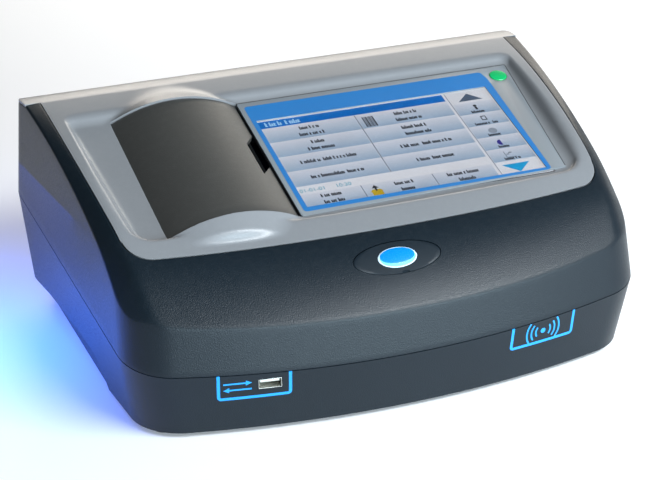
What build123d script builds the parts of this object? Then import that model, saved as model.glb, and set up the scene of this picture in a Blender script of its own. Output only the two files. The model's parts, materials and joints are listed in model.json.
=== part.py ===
from build123d import *
import math
import os

# Bench spectrophotometer. X to the right, Y to the rear, Z up, millimetres.
# The origin is on the table, under the middle of the case.

# Overall case
case_width = 350.0
case_depth = 255.0
front_narrowing = 30.0
foot_height = 3.4
wall = 3.0
gap = 0.3
reveal = 0.4

# Parting line between the two shells, which climbs to the rear
parting_front_z = 38.8
parting_rear_z = 85.0

# Walls: how far they lean inwards away from the parting line
lower_front_inset = 6.9
lower_side_inset = 7.0
upper_top_z = 165.0
upper_front_draft = 0.19
upper_side_draft = 0.065
upper_rear_draft = 0.03
front_bow = 30.0
front_corner_radius = 34.0
rear_corner_radius = 22.0

# Top surface, from the bezel's front edge
brow_start_y = -80.5
brow_start_z = 98.7
rim_slope = 0.418
rim_curve = 0.00087
rim_cubic = 1.0e-7
brow_curve = 0.0091
full_bow = 24.0
bow_start_y = -38.0
bow_reach = 43.0
crest_y = 91.3
shoulder_rear_drop = 0.65
shoulder_slope_drop = 4.0
shoulder_front_drop = 6.5
shoulder_round = 0.3
crease_rear_half = 169.9
crease_front_loss = 10.7

# Bezel outline, seen from above
bezel_rear_half = 158.95
bezel_front_half = 149.0
bezel_corner_y = -69.5
bezel_front_bow = 11.0
bezel_side_bulge = 1.9
bezel_corner_radius = 17.0
bezel_thickness = 3.0
ledge_width = 3.5
ledge_thickness = 2.5

# Sunken floor of the bezel
floor_rear_y = 68.0
floor_rear_z = 138.1
floor_tilt = 15.5
floor_thickness = 2.5
recess_rear_half = 147.5
recess_front_half = 139.5
recess_front_v = -66.0
recess_rear_v = 60.5
recess_flare = 4.2
recess_rear_flare = 9.5
recess_corner_radius = 12.0

# Lid over the cell compartment
lid_x = -82.0
lid_radius = 75.0
lid_thickness = 2.5
lid_rise = 10.9
lid_front_v = -62.7
lid_rear_v = 59.0
lid_closed_left = 35.5
lid_closed_right = 32.0
lid_opening_deg = 54.0
notch_front_v = -9.5
notch_rear_v = 24.0
notch_slant = 12.0
notch_depth = 8.0
arch_margin = 1.0
arch_length = 22.5
arch_fall = 9.5
track_width = 7.0
track_thickness = 2.2

# Display
screen_x = 43.4
screen_v = -8.9
screen_width = 157.0
screen_height = 93.0
overlay_left_x = -41.2
overlay_rear_right_x = 145.8
overlay_front_right_x = 134.5
overlay_rear_v = 58.9
overlay_front_v = -60.5
overlay_thickness = 0.8
glass_margin = 4.0
glass_left_margin = 2.2
glass_thickness = 1.1
lcd_thickness = 5.0
bracket_thickness = 1.2
light_x = 135.8
light_v = 47.5
light_radius = 5.7

# Front wall fittings
badge_x = 1.5
badge_y = -99.3
badge_half_width = 27.0
badge_half_height = 10.6
badge_depth = 2.4
emblem_half_width = 12.2
emblem_half_height = 6.9
emblem_gap = 0.15
usb_x = -85.5
usb_z = 33.3
usb_width = 13.4
usb_height = 5.8
usb_depth = 14.0
usb_outline_left_x = -115.5
usb_outline_right_x = -72.5
reader_left_x = 63.0
reader_right_x = 108.5
outline_bottom_z = 24.2
outline_stroke = 1.8
inlay_depth = 0.5

# Rear wall fittings
panel_x0 = -40.0
panel_x1 = 130.0
panel_z0 = 16.0
panel_z1 = 66.0
panel_lap = 4.0
panel_thickness = 1.5
vent_x = -90.0
vent_z = 38.0
fan_size = 40.0
fan_depth = 10.0

# Cell compartment
tub_x0 = -119.0
tub_x1 = -43.0
tub_y0 = -44.0
tub_y1 = 50.0
tub_wall = 2.0
holder_top_z = 84.0
beam_y = 10.0
beam_z = 44.0
round_well_x = -101.0
round_well_radius = 6.7
slot_x0 = -90.0
slot_x1 = -50.0
slot_width = 13.0
well_bottom_z = 16.7

# Optics
base_x0 = -36.0
base_x1 = 136.0
base_y0 = -36.0
base_y1 = 104.0
base_bottom_z = 14.0
base_thickness = 5.0
lamp_x = 103.0
lamp_y = 86.0
wheel_x = 66.0
wheel_offset = 17.0
wheel_radius = 24.0
grating_x = 44.0
grating_y = 30.0

# Screws
screw_radius = 1.5
screw_head_radius = 2.8
screw_head_height = 2.0
post_radius = 5.6
paired_posts = [(146.0, -68.0), (146.0, 104.0)]
middle_post = (147.0, 10.0)

# Underside
grip_front_y = -30.0
grip_height = 22.0
grip_half_x = 157.5
foot_radius = 9.0
foot_front = (138.0, -84.0)
foot_rear = (143.0, 80.0)
foot_recess = 1.2


def parting_z(y):
    """Height of the parting line at y."""
    share = (y + case_depth / 2) / case_depth
    return parting_front_z + (parting_rear_z - parting_front_z) * share


parting_angle = math.degrees(math.atan((parting_rear_z - parting_front_z) / case_depth))
parting_stretch = 1 / math.cos(math.radians(parting_angle))
parting_plane = Plane(
    origin=(0, 0, parting_z(0)),
    x_dir=(1, 0, 0),
    z_dir=(0, -math.sin(math.radians(parting_angle)), math.cos(math.radians(parting_angle))),
)
big = 2 * case_width

floor_cos = math.cos(math.radians(floor_tilt))
floor_sin = math.sin(math.radians(floor_tilt))
floor_front_run = 128.0
floor_plane = Plane(
    origin=(0, floor_rear_y - floor_front_run / 2,
            floor_rear_z - floor_front_run / 2 * floor_sin / floor_cos),
    x_dir=(1, 0, 0),
    z_dir=(0, -floor_sin, floor_cos),
)


def outline(*curves):
    """A flat face inside the given curves."""
    return make_face(Wire([edge for curve in curves for edge in curve.edges()]))


def box(x0, x1, y0, y1, z0, z1):
    """A block between the given corners."""
    size = (x1 - x0, y1 - y0, z1 - z0)
    return Pos((x0 + x1) / 2, (y0 + y1) / 2, (z0 + z1) / 2) * Box(*size)


def rod(start, direction, radius, length):
    """A round bar from start along direction."""
    return extrude(Plane(origin=start, z_dir=direction) * Circle(radius), length)


def tube(start, direction, outer, inner, length):
    """A round tube from start along direction."""
    return rod(start, direction, outer, length) - rod(start, direction, inner, length)


def on_floor(shape, height=0.0):
    """A shape drawn on the sunken floor, or above it."""
    return floor_plane * Pos(0, 0, height) * shape


def floor_box(x0, x1, v0, v1, h0, h1):
    """A block along the sunken floor's slope."""
    return on_floor(box(x0, x1, v0, v1, h0, h1))


def plan_face(side_inset, front_inset, rear_inset, stretch=1.0, shrink=0.0):
    """The case's outline, seen from above."""
    y_front = (-case_depth / 2 + front_inset + shrink) * stretch
    y_rear = (case_depth / 2 - rear_inset - shrink) * stretch
    rear_half = case_width / 2 - side_inset - shrink + front_narrowing / 2 * rear_corner_radius / case_depth
    front_half = rear_half - front_narrowing / 2
    y_corner = y_front + front_bow * (front_half / (case_width / 2)) ** 2
    lines = [
        ThreePointArc((-front_half, y_corner), (0, y_front), (front_half, y_corner)),
        Line((front_half, y_corner), (rear_half, y_rear)),
        Line((rear_half, y_rear), (-rear_half, y_rear)),
        Line((-rear_half, y_rear), (-front_half, y_corner)),
    ]
    face = outline(*lines)
    front = face.vertices().sort_by(Axis.Y)[:2]
    face = fillet(front, max(front_corner_radius - shrink, 4))
    rear = face.vertices().sort_by(Axis.Y)[-2:]
    return fillet(rear, max(rear_corner_radius - shrink, 4))


def upper_block(shrink=0.0):
    """Everything inside the upper shell's walls, with no top yet."""
    rise_front = upper_top_z - parting_front_z
    rise_rear = upper_top_z - parting_rear_z
    base = parting_plane * plan_face(0, 0, 0, parting_stretch, shrink)
    top = Pos(0, 0, upper_top_z) * plan_face(
        upper_side_draft * (rise_front + rise_rear) / 2,
        upper_front_draft * rise_front,
        upper_rear_draft * rise_rear,
        1.0,
        shrink,
    )
    return loft([base.face(), top.face()], ruled=True)


def lower_block(shrink=0.0, bottom=foot_height):
    """Everything inside the lower shell's walls."""
    base = Pos(0, 0, bottom) * plan_face(lower_side_inset, lower_front_inset, 0, 1.0, shrink)
    top = parting_plane * plan_face(0, 0, 0, parting_stretch, shrink)
    return loft([base.face(), top.face()], ruled=True)


def crown(y):
    """Height of the top surface along the middle."""
    run = y - brow_start_y
    if run >= 0:
        return brow_start_z + rim_slope * run - rim_curve * run**2 + rim_cubic * run**3
    return brow_start_z + rim_slope * run - brow_curve * run**2


def bow_at(y):
    """How far the top surface's level lines bend back at full width."""
    past = max(0.0, (bow_start_y - y) / bow_reach)
    return full_bow * (1 - math.exp(-past**2))


def bezel_half(y):
    """Half-width of the bezel at y."""
    share = (crest_y - y) / (crest_y - bezel_corner_y)
    bulge = bezel_side_bulge * 4 * share * (1 - share)
    return bezel_rear_half + (bezel_front_half - bezel_rear_half) * share + bulge


def top_height(x, y):
    """Height of the top surface in front of the crest."""
    along = (crest_y - y) / (crest_y + 76.0)
    crease_half = crease_rear_half - crease_front_loss * along
    share = (abs(x) - bezel_half(y)) / (crease_half - bezel_half(y))
    share = (share + math.sqrt(share**2 + shoulder_round**2)) / 2
    drop = shoulder_rear_drop + shoulder_slope_drop * along + shoulder_front_drop * along**2
    bowed = y - bow_at(y) * (x / (case_width / 2)) ** 2
    return crown(bowed) - drop * share**2 * 1.6 / (share + 0.6)


def above_front_surface(sink=0.0):
    """Everything above the top surface, lowered by sink."""
    columns = [case_width * (i / 60 - 0.5) * 1.02 for i in range(61)]
    rows = [-case_depth / 2 - 4 + (crest_y + 12 + case_depth / 2) * j / 44 for j in range(45)]
    grid = [[Vector(x, y, top_height(x, y) - sink) for x in columns] for y in rows]
    face = Face.make_surface_from_array_of_points(grid, tol=0.002)
    return extrude(face, 150, dir=(0, 0, 1))


def above_strip(sink=0.0):
    """Everything above the rear strip, lowered by sink."""
    crest_z = top_height(0, crest_y)
    edge = [(60, crest_z + 1.6), (crest_y, crest_z), (107, crest_z - 1.3), (118, crest_z - 4.6)]
    edge += [(124.5, crest_z - 9.5), (128, crest_z - 16), (130, crest_z - 26)]
    lines = [Line((40, crest_z + 2.8), edge[0]), Spline([(y, z) for y, z in edge])]
    lines += [Polyline((130, crest_z - 26), (160, crest_z - 26), (160, 220), (40, 220), (40, crest_z + 2.8))]
    face = Plane.YZ * Pos(0, -sink) * outline(*lines)
    return extrude(face, case_width, both=True)


def bezel_plan(grow=0.0):
    """The bezel's outline, seen from above, with the strip behind the crest."""
    corner_y = bezel_corner_y - grow
    front_half = bezel_front_half + grow
    rear_half = bezel_rear_half + grow
    mid_half = (front_half + rear_half) / 2 + bezel_side_bulge
    mid_y = (crest_y + corner_y) / 2
    front_y = corner_y - bezel_front_bow
    lines = [
        ThreePointArc((-front_half, corner_y), (0, front_y), (front_half, corner_y)),
        ThreePointArc((front_half, corner_y), (mid_half, mid_y), (rear_half, crest_y)),
        Line((rear_half, crest_y), (-rear_half, crest_y)),
        ThreePointArc((-rear_half, crest_y), (-mid_half, mid_y), (-front_half, corner_y)),
    ]
    face = outline(*lines)
    return fillet(face.vertices().sort_by(Axis.Y)[:2], bezel_corner_radius + grow)


def column(face, z0, z1):
    """A plan outline pulled up between two heights."""
    return extrude(Pos(0, 0, z0) * face, z1 - z0)


def recess_face(grow=0.0, rear_grow=0.0):
    """The sunken floor's outline, on its slope."""
    front = recess_front_v - grow
    rear = recess_rear_v + rear_grow
    front_half = recess_front_half + grow
    rear_half = recess_rear_half + grow
    lines = [
        ThreePointArc((-front_half, front + 4), (0, front), (front_half, front + 4)),
        Polyline((front_half, front + 4), (rear_half, rear), (-rear_half, rear), (-front_half, front + 4)),
    ]
    face = outline(*lines)
    face = fillet(face.vertices().sort_by(Axis.Y)[:2], recess_corner_radius + grow)
    return fillet(face.vertices().sort_by(Axis.Y)[-2:], 4 + grow)


lid_axis_height = lid_rise - lid_radius


def lid_cylinder(radius, v0, v1):
    """A round bar about the lid's axis, between two places along the slope."""
    return on_floor(Pos(lid_x, v0, lid_axis_height) * Rot(-90, 0, 0) * extrude(Circle(radius), v1 - v0))


def lid_sector(left_deg, right_deg, v0, v1):
    """A wedge about the lid's axis, from left_deg left of upright to right_deg right of it."""
    reach = 2 * lid_radius
    count = 6
    points = [(0.0, 0.0)]
    for i in range(count + 1):
        turn = math.radians(-left_deg + (left_deg + right_deg) * i / count)
        points.append((reach * math.sin(turn), reach * math.cos(turn)))
    face = make_face(Polyline(*points, close=True))
    wedge = extrude(Plane.XZ * face, v0 - v1)
    return on_floor(Pos(lid_x, v0, lid_axis_height) * wedge)


nodes = {}


def keep(name, shape):
    """Puts a finished piece on the list."""
    nodes[name] = shape


# Blocks that the shells are cut from
upper_outer = upper_block()
upper_inner = upper_block(wall)
lower_outer = lower_block()
lower_inner = lower_block(wall, foot_height + wall)
over_front = above_front_surface()
over_strip = above_strip()
cap = upper_outer - over_front - over_strip
core = upper_outer - above_front_surface(bezel_thickness) - above_strip(bezel_thickness)
ledge_depth = bezel_thickness + ledge_thickness
deep = upper_outer - above_front_surface(ledge_depth) - above_strip(ledge_depth)
skin = cap - core
behind_crest = box(-big, big, crest_y, big, -10, 300)
top_z = 200.0


def along_parting(x, y, radius, below, above):
    """A round bar upright through the parting line."""
    return rod((x, y, parting_z(y) - below), (0, 0, 1), radius, below + above)


def both_sides(places):
    """The places and their mirror images across the middle."""
    return [(side * x, y) for x, y in places for side in (-1, 1)]


floor_z = foot_height + wall
# The lid rolls down past the middle of the left wall, so that wall has no middle post
posts = both_sides(paired_posts) + [middle_post]

# Upper housing
seat = skin & (column(bezel_plan(reveal), 60, top_z) + behind_crest)
ledge = (core - deep) & (column(bezel_plan(2), 60, top_z) - column(bezel_plan(-ledge_width), 60, top_z))
hollow = upper_inner & core
upper_housing = cap - hollow - seat + ledge
for x, y in posts:
    side = 1 if x > 0 else -1
    web = Pos(x + side * 15, y, parting_z(y)) * Box(30, 2.4, 28)
    post = (along_parting(x, y, post_radius, 60, 16) + web) & upper_outer
    upper_housing = upper_housing + post - along_parting(x, y, screw_radius + gap, 70, 9)


def brow_plane(x, y):
    """A plane on the brow, facing out of it."""
    step = 1.0
    rise_y = (top_height(x, y + step) - top_height(x, y - step)) / (2 * step)
    rise_x = (top_height(x + step, y) - top_height(x - step, y)) / (2 * step)
    origin = (x, y, top_height(x, y))
    return Plane(origin=origin, x_dir=(1, 0, rise_x), z_dir=(-rise_x, -rise_y, 1))


badge_plane = brow_plane(badge_x, badge_y)


def badge_prism(half_width, half_height):
    """The badge's outline, pushed through the brow."""
    face = badge_plane * Pos(0, 0, -12) * Ellipse(half_width, half_height)
    return extrude(face, 24)


# Oval plate in the brow, with its pry notch, and the small oval set in it
badge_shell = cap - (upper_outer - above_front_surface(badge_depth))
emblem_shell = cap - (upper_outer - above_front_surface(badge_depth / 2))
badge_hole = badge_prism(badge_half_width + reveal, badge_half_height + reveal)
upper_housing = upper_housing - (badge_shell & badge_hole)
pry_notch = badge_plane * Pos(2.0, -badge_half_height, 0) * Box(5.0, 2.4, 8.0)
emblem_zone = emblem_shell & badge_prism(emblem_half_width, emblem_half_height)
badge_plate = (badge_shell & badge_prism(badge_half_width, badge_half_height)) - pry_notch - emblem_zone
keep("upper_housing", upper_housing)
keep("badge_plate", badge_plate)
emblem_prism = badge_prism(emblem_half_width - emblem_gap, emblem_half_height - emblem_gap)
keep("badge_emblem", emblem_shell & emblem_prism)

# Top bezel: skin, sunken pan, arches round the lid's ends
flare_height = 12.0
recess_top = recess_face(2 * recess_flare, 2 * recess_rear_flare)
recess = loft([on_floor(recess_face()).face(), on_floor(recess_top, flare_height).face()], ruled=True)
pan_bottom = recess_face(floor_thickness, floor_thickness)
pan_top = recess_face(2 * recess_flare + floor_thickness, 2 * recess_rear_flare + floor_thickness)
pan_ends = [on_floor(pan_bottom, -floor_thickness).face(), on_floor(pan_top, flare_height).face()]
pan = loft(pan_ends, ruled=True)
ledge_zone = core - column(bezel_plan(-ledge_width - gap), 60, top_z)
top_bezel = (skin & (column(bezel_plan(), 60, top_z) + behind_crest)) + ((pan & cap) - ledge_zone) - recess


def arch(v_start, v_end):
    """A cone about the lid's axis that falls away from the lid's end."""
    radius = lid_radius + arch_margin
    length = abs(v_end - v_start)
    cone = Cone(radius, radius - arch_fall, length, align=(Align.CENTER, Align.CENTER, Align.MIN))
    turn = -90 if v_end > v_start else 90
    return on_floor(Pos(lid_x, v_start, lid_axis_height) * Rot(turn, 0, 0) * cone)


lid_gap = 0.6
above_pan = floor_box(-big, big, -150, 150, -floor_thickness, 60)
arch_column = column(bezel_plan(-1), 60, top_z) & above_pan
for v_start, v_end in ((lid_rear_v + lid_gap, lid_rear_v + lid_gap + arch_length),
                       (lid_front_v - lid_gap, lid_front_v - lid_gap - arch_length)):
    top_bezel = top_bezel + ((arch(v_start, v_end) & arch_column) - ledge_zone)
top_bezel = top_bezel - lid_cylinder(lid_radius + lid_gap, lid_front_v - lid_gap, lid_rear_v + lid_gap)

glass_x0 = screen_x - screen_width / 2 - glass_left_margin
glass_x1 = screen_x + screen_width / 2 + glass_margin
glass_v0 = screen_v - screen_height / 2 - glass_margin
glass_v1 = screen_v + screen_height / 2 + glass_margin
window = floor_box(glass_x0 - gap, glass_x1 + gap, glass_v0 - gap, glass_v1 + gap, -40, 5)
top_bezel = top_bezel - window
keep("top_bezel", top_bezel)

# Display stack
overlay_face = outline(Polyline(
    (overlay_left_x, overlay_front_v - 2.5), (overlay_front_right_x, overlay_front_v + 2.5),
    (overlay_rear_right_x, overlay_rear_v), (overlay_left_x, overlay_rear_v),
    (overlay_left_x, overlay_front_v - 2.5)))
overlay_face = fillet(overlay_face.vertices(), 2.0)
screen_face = Pos(screen_x, screen_v) * Rectangle(screen_width, screen_height)
light_face = Pos(light_x, light_v) * Circle(light_radius + gap)
keep("display_overlay", extrude(on_floor(overlay_face - screen_face - light_face), overlay_thickness))
keep("status_light", on_floor(Pos(light_x, light_v) * extrude(Circle(light_radius), overlay_thickness + 0.5)))
keep("touch_glass", floor_box(glass_x0, glass_x1, glass_v0, glass_v1, -glass_thickness, 0))
lcd_back = -glass_thickness - lcd_thickness
keep("lcd_module", floor_box(glass_x0, glass_x1, glass_v0, glass_v1, lcd_back, -glass_thickness))
flange = 9.0
left_flange = 1.8
tray_outer = floor_box(glass_x0 - left_flange, glass_x1 + flange, glass_v0 - flange, glass_v1 + flange,
                       lcd_back - bracket_thickness, -floor_thickness)
tray_inner = floor_box(glass_x0 - gap, glass_x1 + gap, glass_v0 - gap, glass_v1 + gap, lcd_back, 0)
board_top = -19.0
board_thickness = 1.6
board_half_x = 70.0
board_half_v = 40.0
display_bracket = tray_outer - tray_inner
for x_side in (-1, 1):
    for v_side in (-1, 1):
        spot = (screen_x + x_side * (board_half_x - 5), screen_v + v_side * (board_half_v - 5))
        stand = extrude(Circle(3.0), lcd_back - bracket_thickness - board_top)
        stand = on_floor(Pos(*spot, board_top) * stand)
        display_bracket = display_bracket + stand
keep("display_bracket", display_bracket)
main_board = floor_box(screen_x - board_half_x, screen_x + board_half_x, screen_v - board_half_v,
                       screen_v + board_half_v, board_top - board_thickness, board_top)
for x, v, size in ((-30, 5, 22), (12, -12, 15), (40, 14, 12)):
    main_board = main_board + floor_box(screen_x + x, screen_x + x + size, screen_v + v, screen_v + v + size,
                                        board_top - board_thickness - 2.5, board_top - board_thickness)
keep("main_board", main_board)

# Lid and its two rails
lid_ring = lid_cylinder(lid_radius, lid_front_v, lid_rear_v)
lid_ring = lid_ring - lid_cylinder(lid_radius - lid_thickness, lid_front_v - 1, lid_rear_v + 1)
sample_lid = lid_ring & lid_sector(lid_closed_left, lid_closed_right, lid_front_v, lid_rear_v)
lid_edge_x = lid_x + lid_radius * math.sin(math.radians(lid_closed_right))
notch_slope = notch_slant / notch_depth
notch_points = [(-notch_depth, notch_rear_v - notch_slant), (4, notch_rear_v + 4 * notch_slope),
                (4, notch_front_v + 4 * notch_slope), (-notch_depth, notch_front_v - notch_slant)]
notch_face = fillet(Polygon(*notch_points, align=None).vertices().sort_by(Axis.X)[:2], 2.0)
notch = on_floor(Pos(lid_edge_x, 0) * extrude(notch_face, 30, both=True))
keep("sample_lid", sample_lid - notch)
rail_outer = lid_radius - lid_thickness - gap
for name, side in (("lid_track_front", -1), ("lid_track_rear", 1)):
    v_end = lid_front_v if side < 0 else lid_rear_v
    v_in = v_end - side * track_width
    v_plate = v_end + side * (lid_gap + 0.4)
    v_out = v_end + side * (lid_gap + 2.4)
    low, high = sorted((v_in, v_out))
    rim = lid_cylinder(rail_outer, low, high) - lid_cylinder(rail_outer - track_thickness, low - 1, high + 1)
    low, high = sorted((v_plate, v_out))
    web = lid_cylinder(rail_outer + 4.0, low, high) - lid_cylinder(rail_outer - 14.0, low - 1, high + 1)
    rail = (rim + web) & lid_sector(lid_closed_left + lid_opening_deg, lid_closed_right, -90, 90)
    keep(name, rail & floor_box(-big, big, -90, 90, -90, -floor_thickness))

# Lower housing
grip_points = [(grip_front_y - 3, -5), (grip_front_y - 3, 4), (grip_front_y + 5, 15),
               (grip_front_y + 16, grip_height - 1.5), (grip_front_y + 45, grip_height + 1),
               (70, grip_height + 2), (100, grip_height), (case_depth, grip_height - 1),
               (case_depth, -5), (grip_front_y - 3, -5)]
grip_side = outline(Polyline(*grip_points))
grip_side_outer = offset(grip_side, wall)
grip_cut = extrude(Plane.YZ * grip_side, case_width, both=True)
grip_mass = extrude(Plane.YZ * grip_side_outer, case_width, both=True)
base_plan = Rectangle(2 * grip_half_x, case_depth)
base_plan = fillet(base_plan.vertices().sort_by(Axis.Y)[-2:], rear_corner_radius)
inner_plan = offset(base_plan, -wall)
grip_cut = grip_cut - column(base_plan, -20, 60)
grip_mass = grip_mass - column(inner_plan, -20, 60)
lower_housing = lower_outer - lower_inner + (lower_outer & grip_mass)
base_pads = [(x, y) for y in (base_y0 + 8, base_y1 - 8) for x in (base_x0 + 8, base_x1 - 8)]
for x, y in base_pads:
    boss = tube((x, y, floor_z), (0, 0, 1), 5.0, screw_radius + gap, base_bottom_z - floor_z)
    lower_housing = lower_housing + boss
for x, y in posts:
    lower_housing = lower_housing + (along_parting(x, y, post_radius, 90, 20) & lower_outer)
lower_housing = lower_housing - grip_cut
screws = []
for x, y in posts:
    lower_housing = lower_housing - along_parting(x, y, screw_radius + gap, 90, 20)
    lower_housing = lower_housing - rod((x, y, -5), (0, 0, 1), screw_head_radius + 0.6, parting_z(y) - 8 + 5)
    head = rod((x, y, parting_z(y) - 8 - screw_head_height), (0, 0, 1), screw_head_radius, screw_head_height)
    screws.append(head + rod((x, y, parting_z(y) - 8), (0, 0, 1), screw_radius, 15))
keep("housing_screws", Compound(children=[s.solid() for s in screws]))
feet = []
for x, y in both_sides([foot_front, foot_rear]):
    foot = rod((x, y, 0), (0, 0, 1), foot_radius, foot_height + foot_recess)
    feet.append(foot.solid())
    seat_length = foot_height + foot_recess + 1
    lower_housing = lower_housing - rod((x, y, -1), (0, 0, 1), foot_radius + gap, seat_length)
keep("feet", Compound(children=feet))


def front_plane(x, z):
    """A plane on the lower front wall at x and z, facing forward."""
    slope = 2 * front_bow * x / (case_width / 2) ** 2
    down = (parting_front_z - z) / (parting_front_z - foot_height)
    y = -case_depth / 2 + front_bow * (x / (case_width / 2)) ** 2 + lower_front_inset * down
    return Plane(origin=(x, y, z), x_dir=(1, slope, 0), z_dir=(slope, -1, 0))


# Front USB socket on its shelf
usb_plane = front_plane(usb_x, usb_z)


def front_block(plane, width, height, front, back, lift=0.0):
    """A block at a front fitting, from front of the wall to behind it."""
    centre = Pos(0, lift, (front - back) / 2)
    return plane * centre * Box(width, height, front + back)


usb_hole = front_block(usb_plane, usb_width + 2 * gap, usb_height + 2 * gap, 6, usb_depth)
lower_housing = lower_housing - usb_hole
shelf_height = usb_z - usb_height / 2 - floor_z
shelf_lift = -usb_height / 2 - shelf_height / 2
shelf = front_block(usb_plane, usb_width + 4, shelf_height, -4.0, usb_depth, shelf_lift)
lower_housing = lower_housing + (shelf & lower_outer)
usb_shell = front_block(usb_plane, usb_width, usb_height, 0.2, usb_depth)
usb_shell = usb_shell - front_block(usb_plane, usb_width - 0.7, usb_height - 0.7, 1, usb_depth - 1)
tongue_lift = usb_height / 2 - 0.35 - 0.4 - 0.9
usb_tongue = front_block(usb_plane, usb_width - 2.2, 1.8, -1.5, usb_depth - 1, tongue_lift)
keep("front_usb_shell", usb_shell)
keep("front_usb_tongue", usb_tongue)

# Printed outlines and signs, set into the lower front wall
inlay_zone = lower_outer - lower_block(inlay_depth, foot_height)


def stroke_ring(width, height, stroke, radius):
    """A rounded frame."""
    outer = RectangleRounded(width, height, radius)
    return outer - RectangleRounded(width - 2 * stroke, height - 2 * stroke, max(radius - stroke, 0.3))


def sign(plane, faces):
    """Flat faces on a front plane, laid into the wall."""
    shape = extrude(plane * Pos(0, 0, -8) * faces[0], 16)
    for face in faces[1:]:
        shape = shape + extrude(plane * Pos(0, 0, -8) * face, 16)
    return shape & inlay_zone


outline_height = 40.0
arrow_points = [(-3.6, 0.9), (-0.6, 0.9), (-0.6, 2.2), (2.6, 0), (-0.6, -2.2), (-0.6, -0.9), (-3.6, -0.9)]
arrow = Polygon(*arrow_points, align=None)
usb_mid = (usb_outline_left_x + usb_outline_right_x) / 2
usb_frame = stroke_ring(usb_outline_right_x - usb_outline_left_x, outline_height, outline_stroke, 2.5)
usb_faces = [Pos(0, outline_height / 2) * usb_frame]
usb_faces += [Pos(-11.5, 11.8) * Rot(0, 0, 180) * arrow, Pos(-6.0, 7.2) * arrow]
usb_outline = sign(front_plane(usb_mid, outline_bottom_z), usb_faces)
reader_mid = (reader_left_x + reader_right_x) / 2
reader_frame = stroke_ring(reader_right_x - reader_left_x, outline_height, outline_stroke, 2.5)
reader_faces = [Pos(0, outline_height / 2) * reader_frame, Pos(0, 8.5) * Circle(1.7)]
for radius in (5.2, 8.4, 11.6):
    ring = Circle(radius + 0.55) - Circle(radius - 0.55)
    wedge_points = [(0, 0), (20, 15), (20, -15)]
    wedge = Polygon(*wedge_points, align=None) + Rot(0, 0, 180) * Polygon(*wedge_points, align=None)
    reader_faces.append(Pos(0, 8.5) * (ring & wedge))
reader_outline = sign(front_plane(reader_mid, outline_bottom_z), reader_faces)
lower_housing = lower_housing - usb_outline - reader_outline
keep("usb_outline", usb_outline)
keep("reader_outline", reader_outline)

# Reader board on two shelves behind the front wall
board_plane = front_plane(reader_mid, 24.0)
reader_board = front_block(board_plane, 40.0, 22.0, -9.0, 10.6)
keep("reader_board", reader_board)
for x in (-14.0, 14.0):
    stand = board_plane * Pos(x, -11 - (13 - floor_z) / 2, -10) * Box(6, 13 - floor_z, 5)
    lower_housing = lower_housing + (stand & lower_outer)

# Rear wall
wall_in = case_depth / 2 - wall
lower_housing = lower_housing - box(panel_x0, panel_x1, wall_in - 1, wall_in + 9, panel_z0, panel_z1)
slot_pitch = 6.0
for i in range(6):
    x = vent_x + (i - 2.5) * slot_pitch
    lower_housing = lower_housing - box(x - 1.5, x + 1.5, wall_in - 1, wall_in + 9, vent_z - 16, vent_z + 16)
keep("lower_housing", lower_housing)

panel_out = wall_in
panel_in = wall_in - panel_thickness
rear_panel = box(panel_x0 - panel_lap, panel_x1 + panel_lap, panel_in, panel_out, panel_z0 - panel_lap,
                 panel_z1 + panel_lap)


def port(x, z, width, height):
    """A hole for a port in the rear panel."""
    return box(x - width / 2 - gap, x + width / 2 + gap, panel_in - 1, panel_out + 1, z - height / 2 - gap,
               z + height / 2 + gap)


def hollow_port(x, z, width, height, depth, skin_thickness):
    """A port's metal shell, closed at its back."""
    outer = box(x - width / 2, x + width / 2, panel_out + 0.3 - depth, panel_out + 0.3, z - height / 2,
                z + height / 2)
    t = skin_thickness
    inner = box(x - width / 2 + t, x + width / 2 - t, panel_out - depth + 1.3, panel_out + 1,
                z - height / 2 + t, z + height / 2 - t)
    return outer - inner


port_z = 30.0
port_xs = [panel_x0 + 20 + i * 23 for i in range(4)]
ports = {
    "ethernet_socket": (port_xs[0], port_z, 16.0, 13.5, 18.0, 1.2),
    "rear_usb_shell": (port_xs[1], port_z, usb_width, usb_height, usb_depth, 0.35),
    "usb_b_shell": (port_xs[2], port_z, 12.0, 11.0, 16.0, 0.5),
}
for name, (x, z, width, height, depth, skin_thickness) in ports.items():
    rear_panel = rear_panel - port(x, z, width, height)
    keep(name, hollow_port(x, z, width, height, depth, skin_thickness))
keep("rear_usb_tongue", Pos(port_xs[1], panel_out - usb_depth + 1.3, port_z + tongue_lift)
     * Box(usb_width - 2.2, usb_depth - 2.8, 1.8, align=(Align.CENTER, Align.MIN, Align.CENTER)))
keep("usb_b_tongue", Pos(port_xs[2], panel_out - 14.7, port_z)
     * Box(5.6, 11.7, 3.2, align=(Align.CENTER, Align.MIN, Align.CENTER)))
shelf_y0 = panel_out - 14
port_shelf = box(port_xs[0] - 10, port_xs[2] + 10, shelf_y0, panel_in, port_z - 10, port_z - 7.6)
for x, z, width, height, depth, skin_thickness in ports.values():
    port_shelf = port_shelf + box(x - 4, x + 4, shelf_y0, panel_in, port_z - 9, z - height / 2)
rear_panel = rear_panel + port_shelf

dc_x = port_xs[3]
dc_z = port_z
rear_panel = rear_panel - rod((dc_x, panel_out + 1, dc_z), (0, -1, 0), 5.5 + gap, 4)
dc_barrel = tube((dc_x, panel_out + 0.4, dc_z), (0, -1, 0), 5.5, 3.1, 12) + rod((dc_x, panel_out - 9, dc_z),
                                                                            (0, -1, 0), 5.5, 3)
dc_inlet = dc_barrel + box(dc_x - 7, dc_x + 7, panel_in - 8, panel_in, dc_z - 7, dc_z + 7) - rod(
    (dc_x, panel_out + 1, dc_z), (0, -1, 0), 3.1, 10)
dc_inlet = dc_inlet + rod((dc_x, panel_out - 9, dc_z), (0, 1, 0), 1.0, 8)
keep("dc_inlet", dc_inlet)

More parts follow.
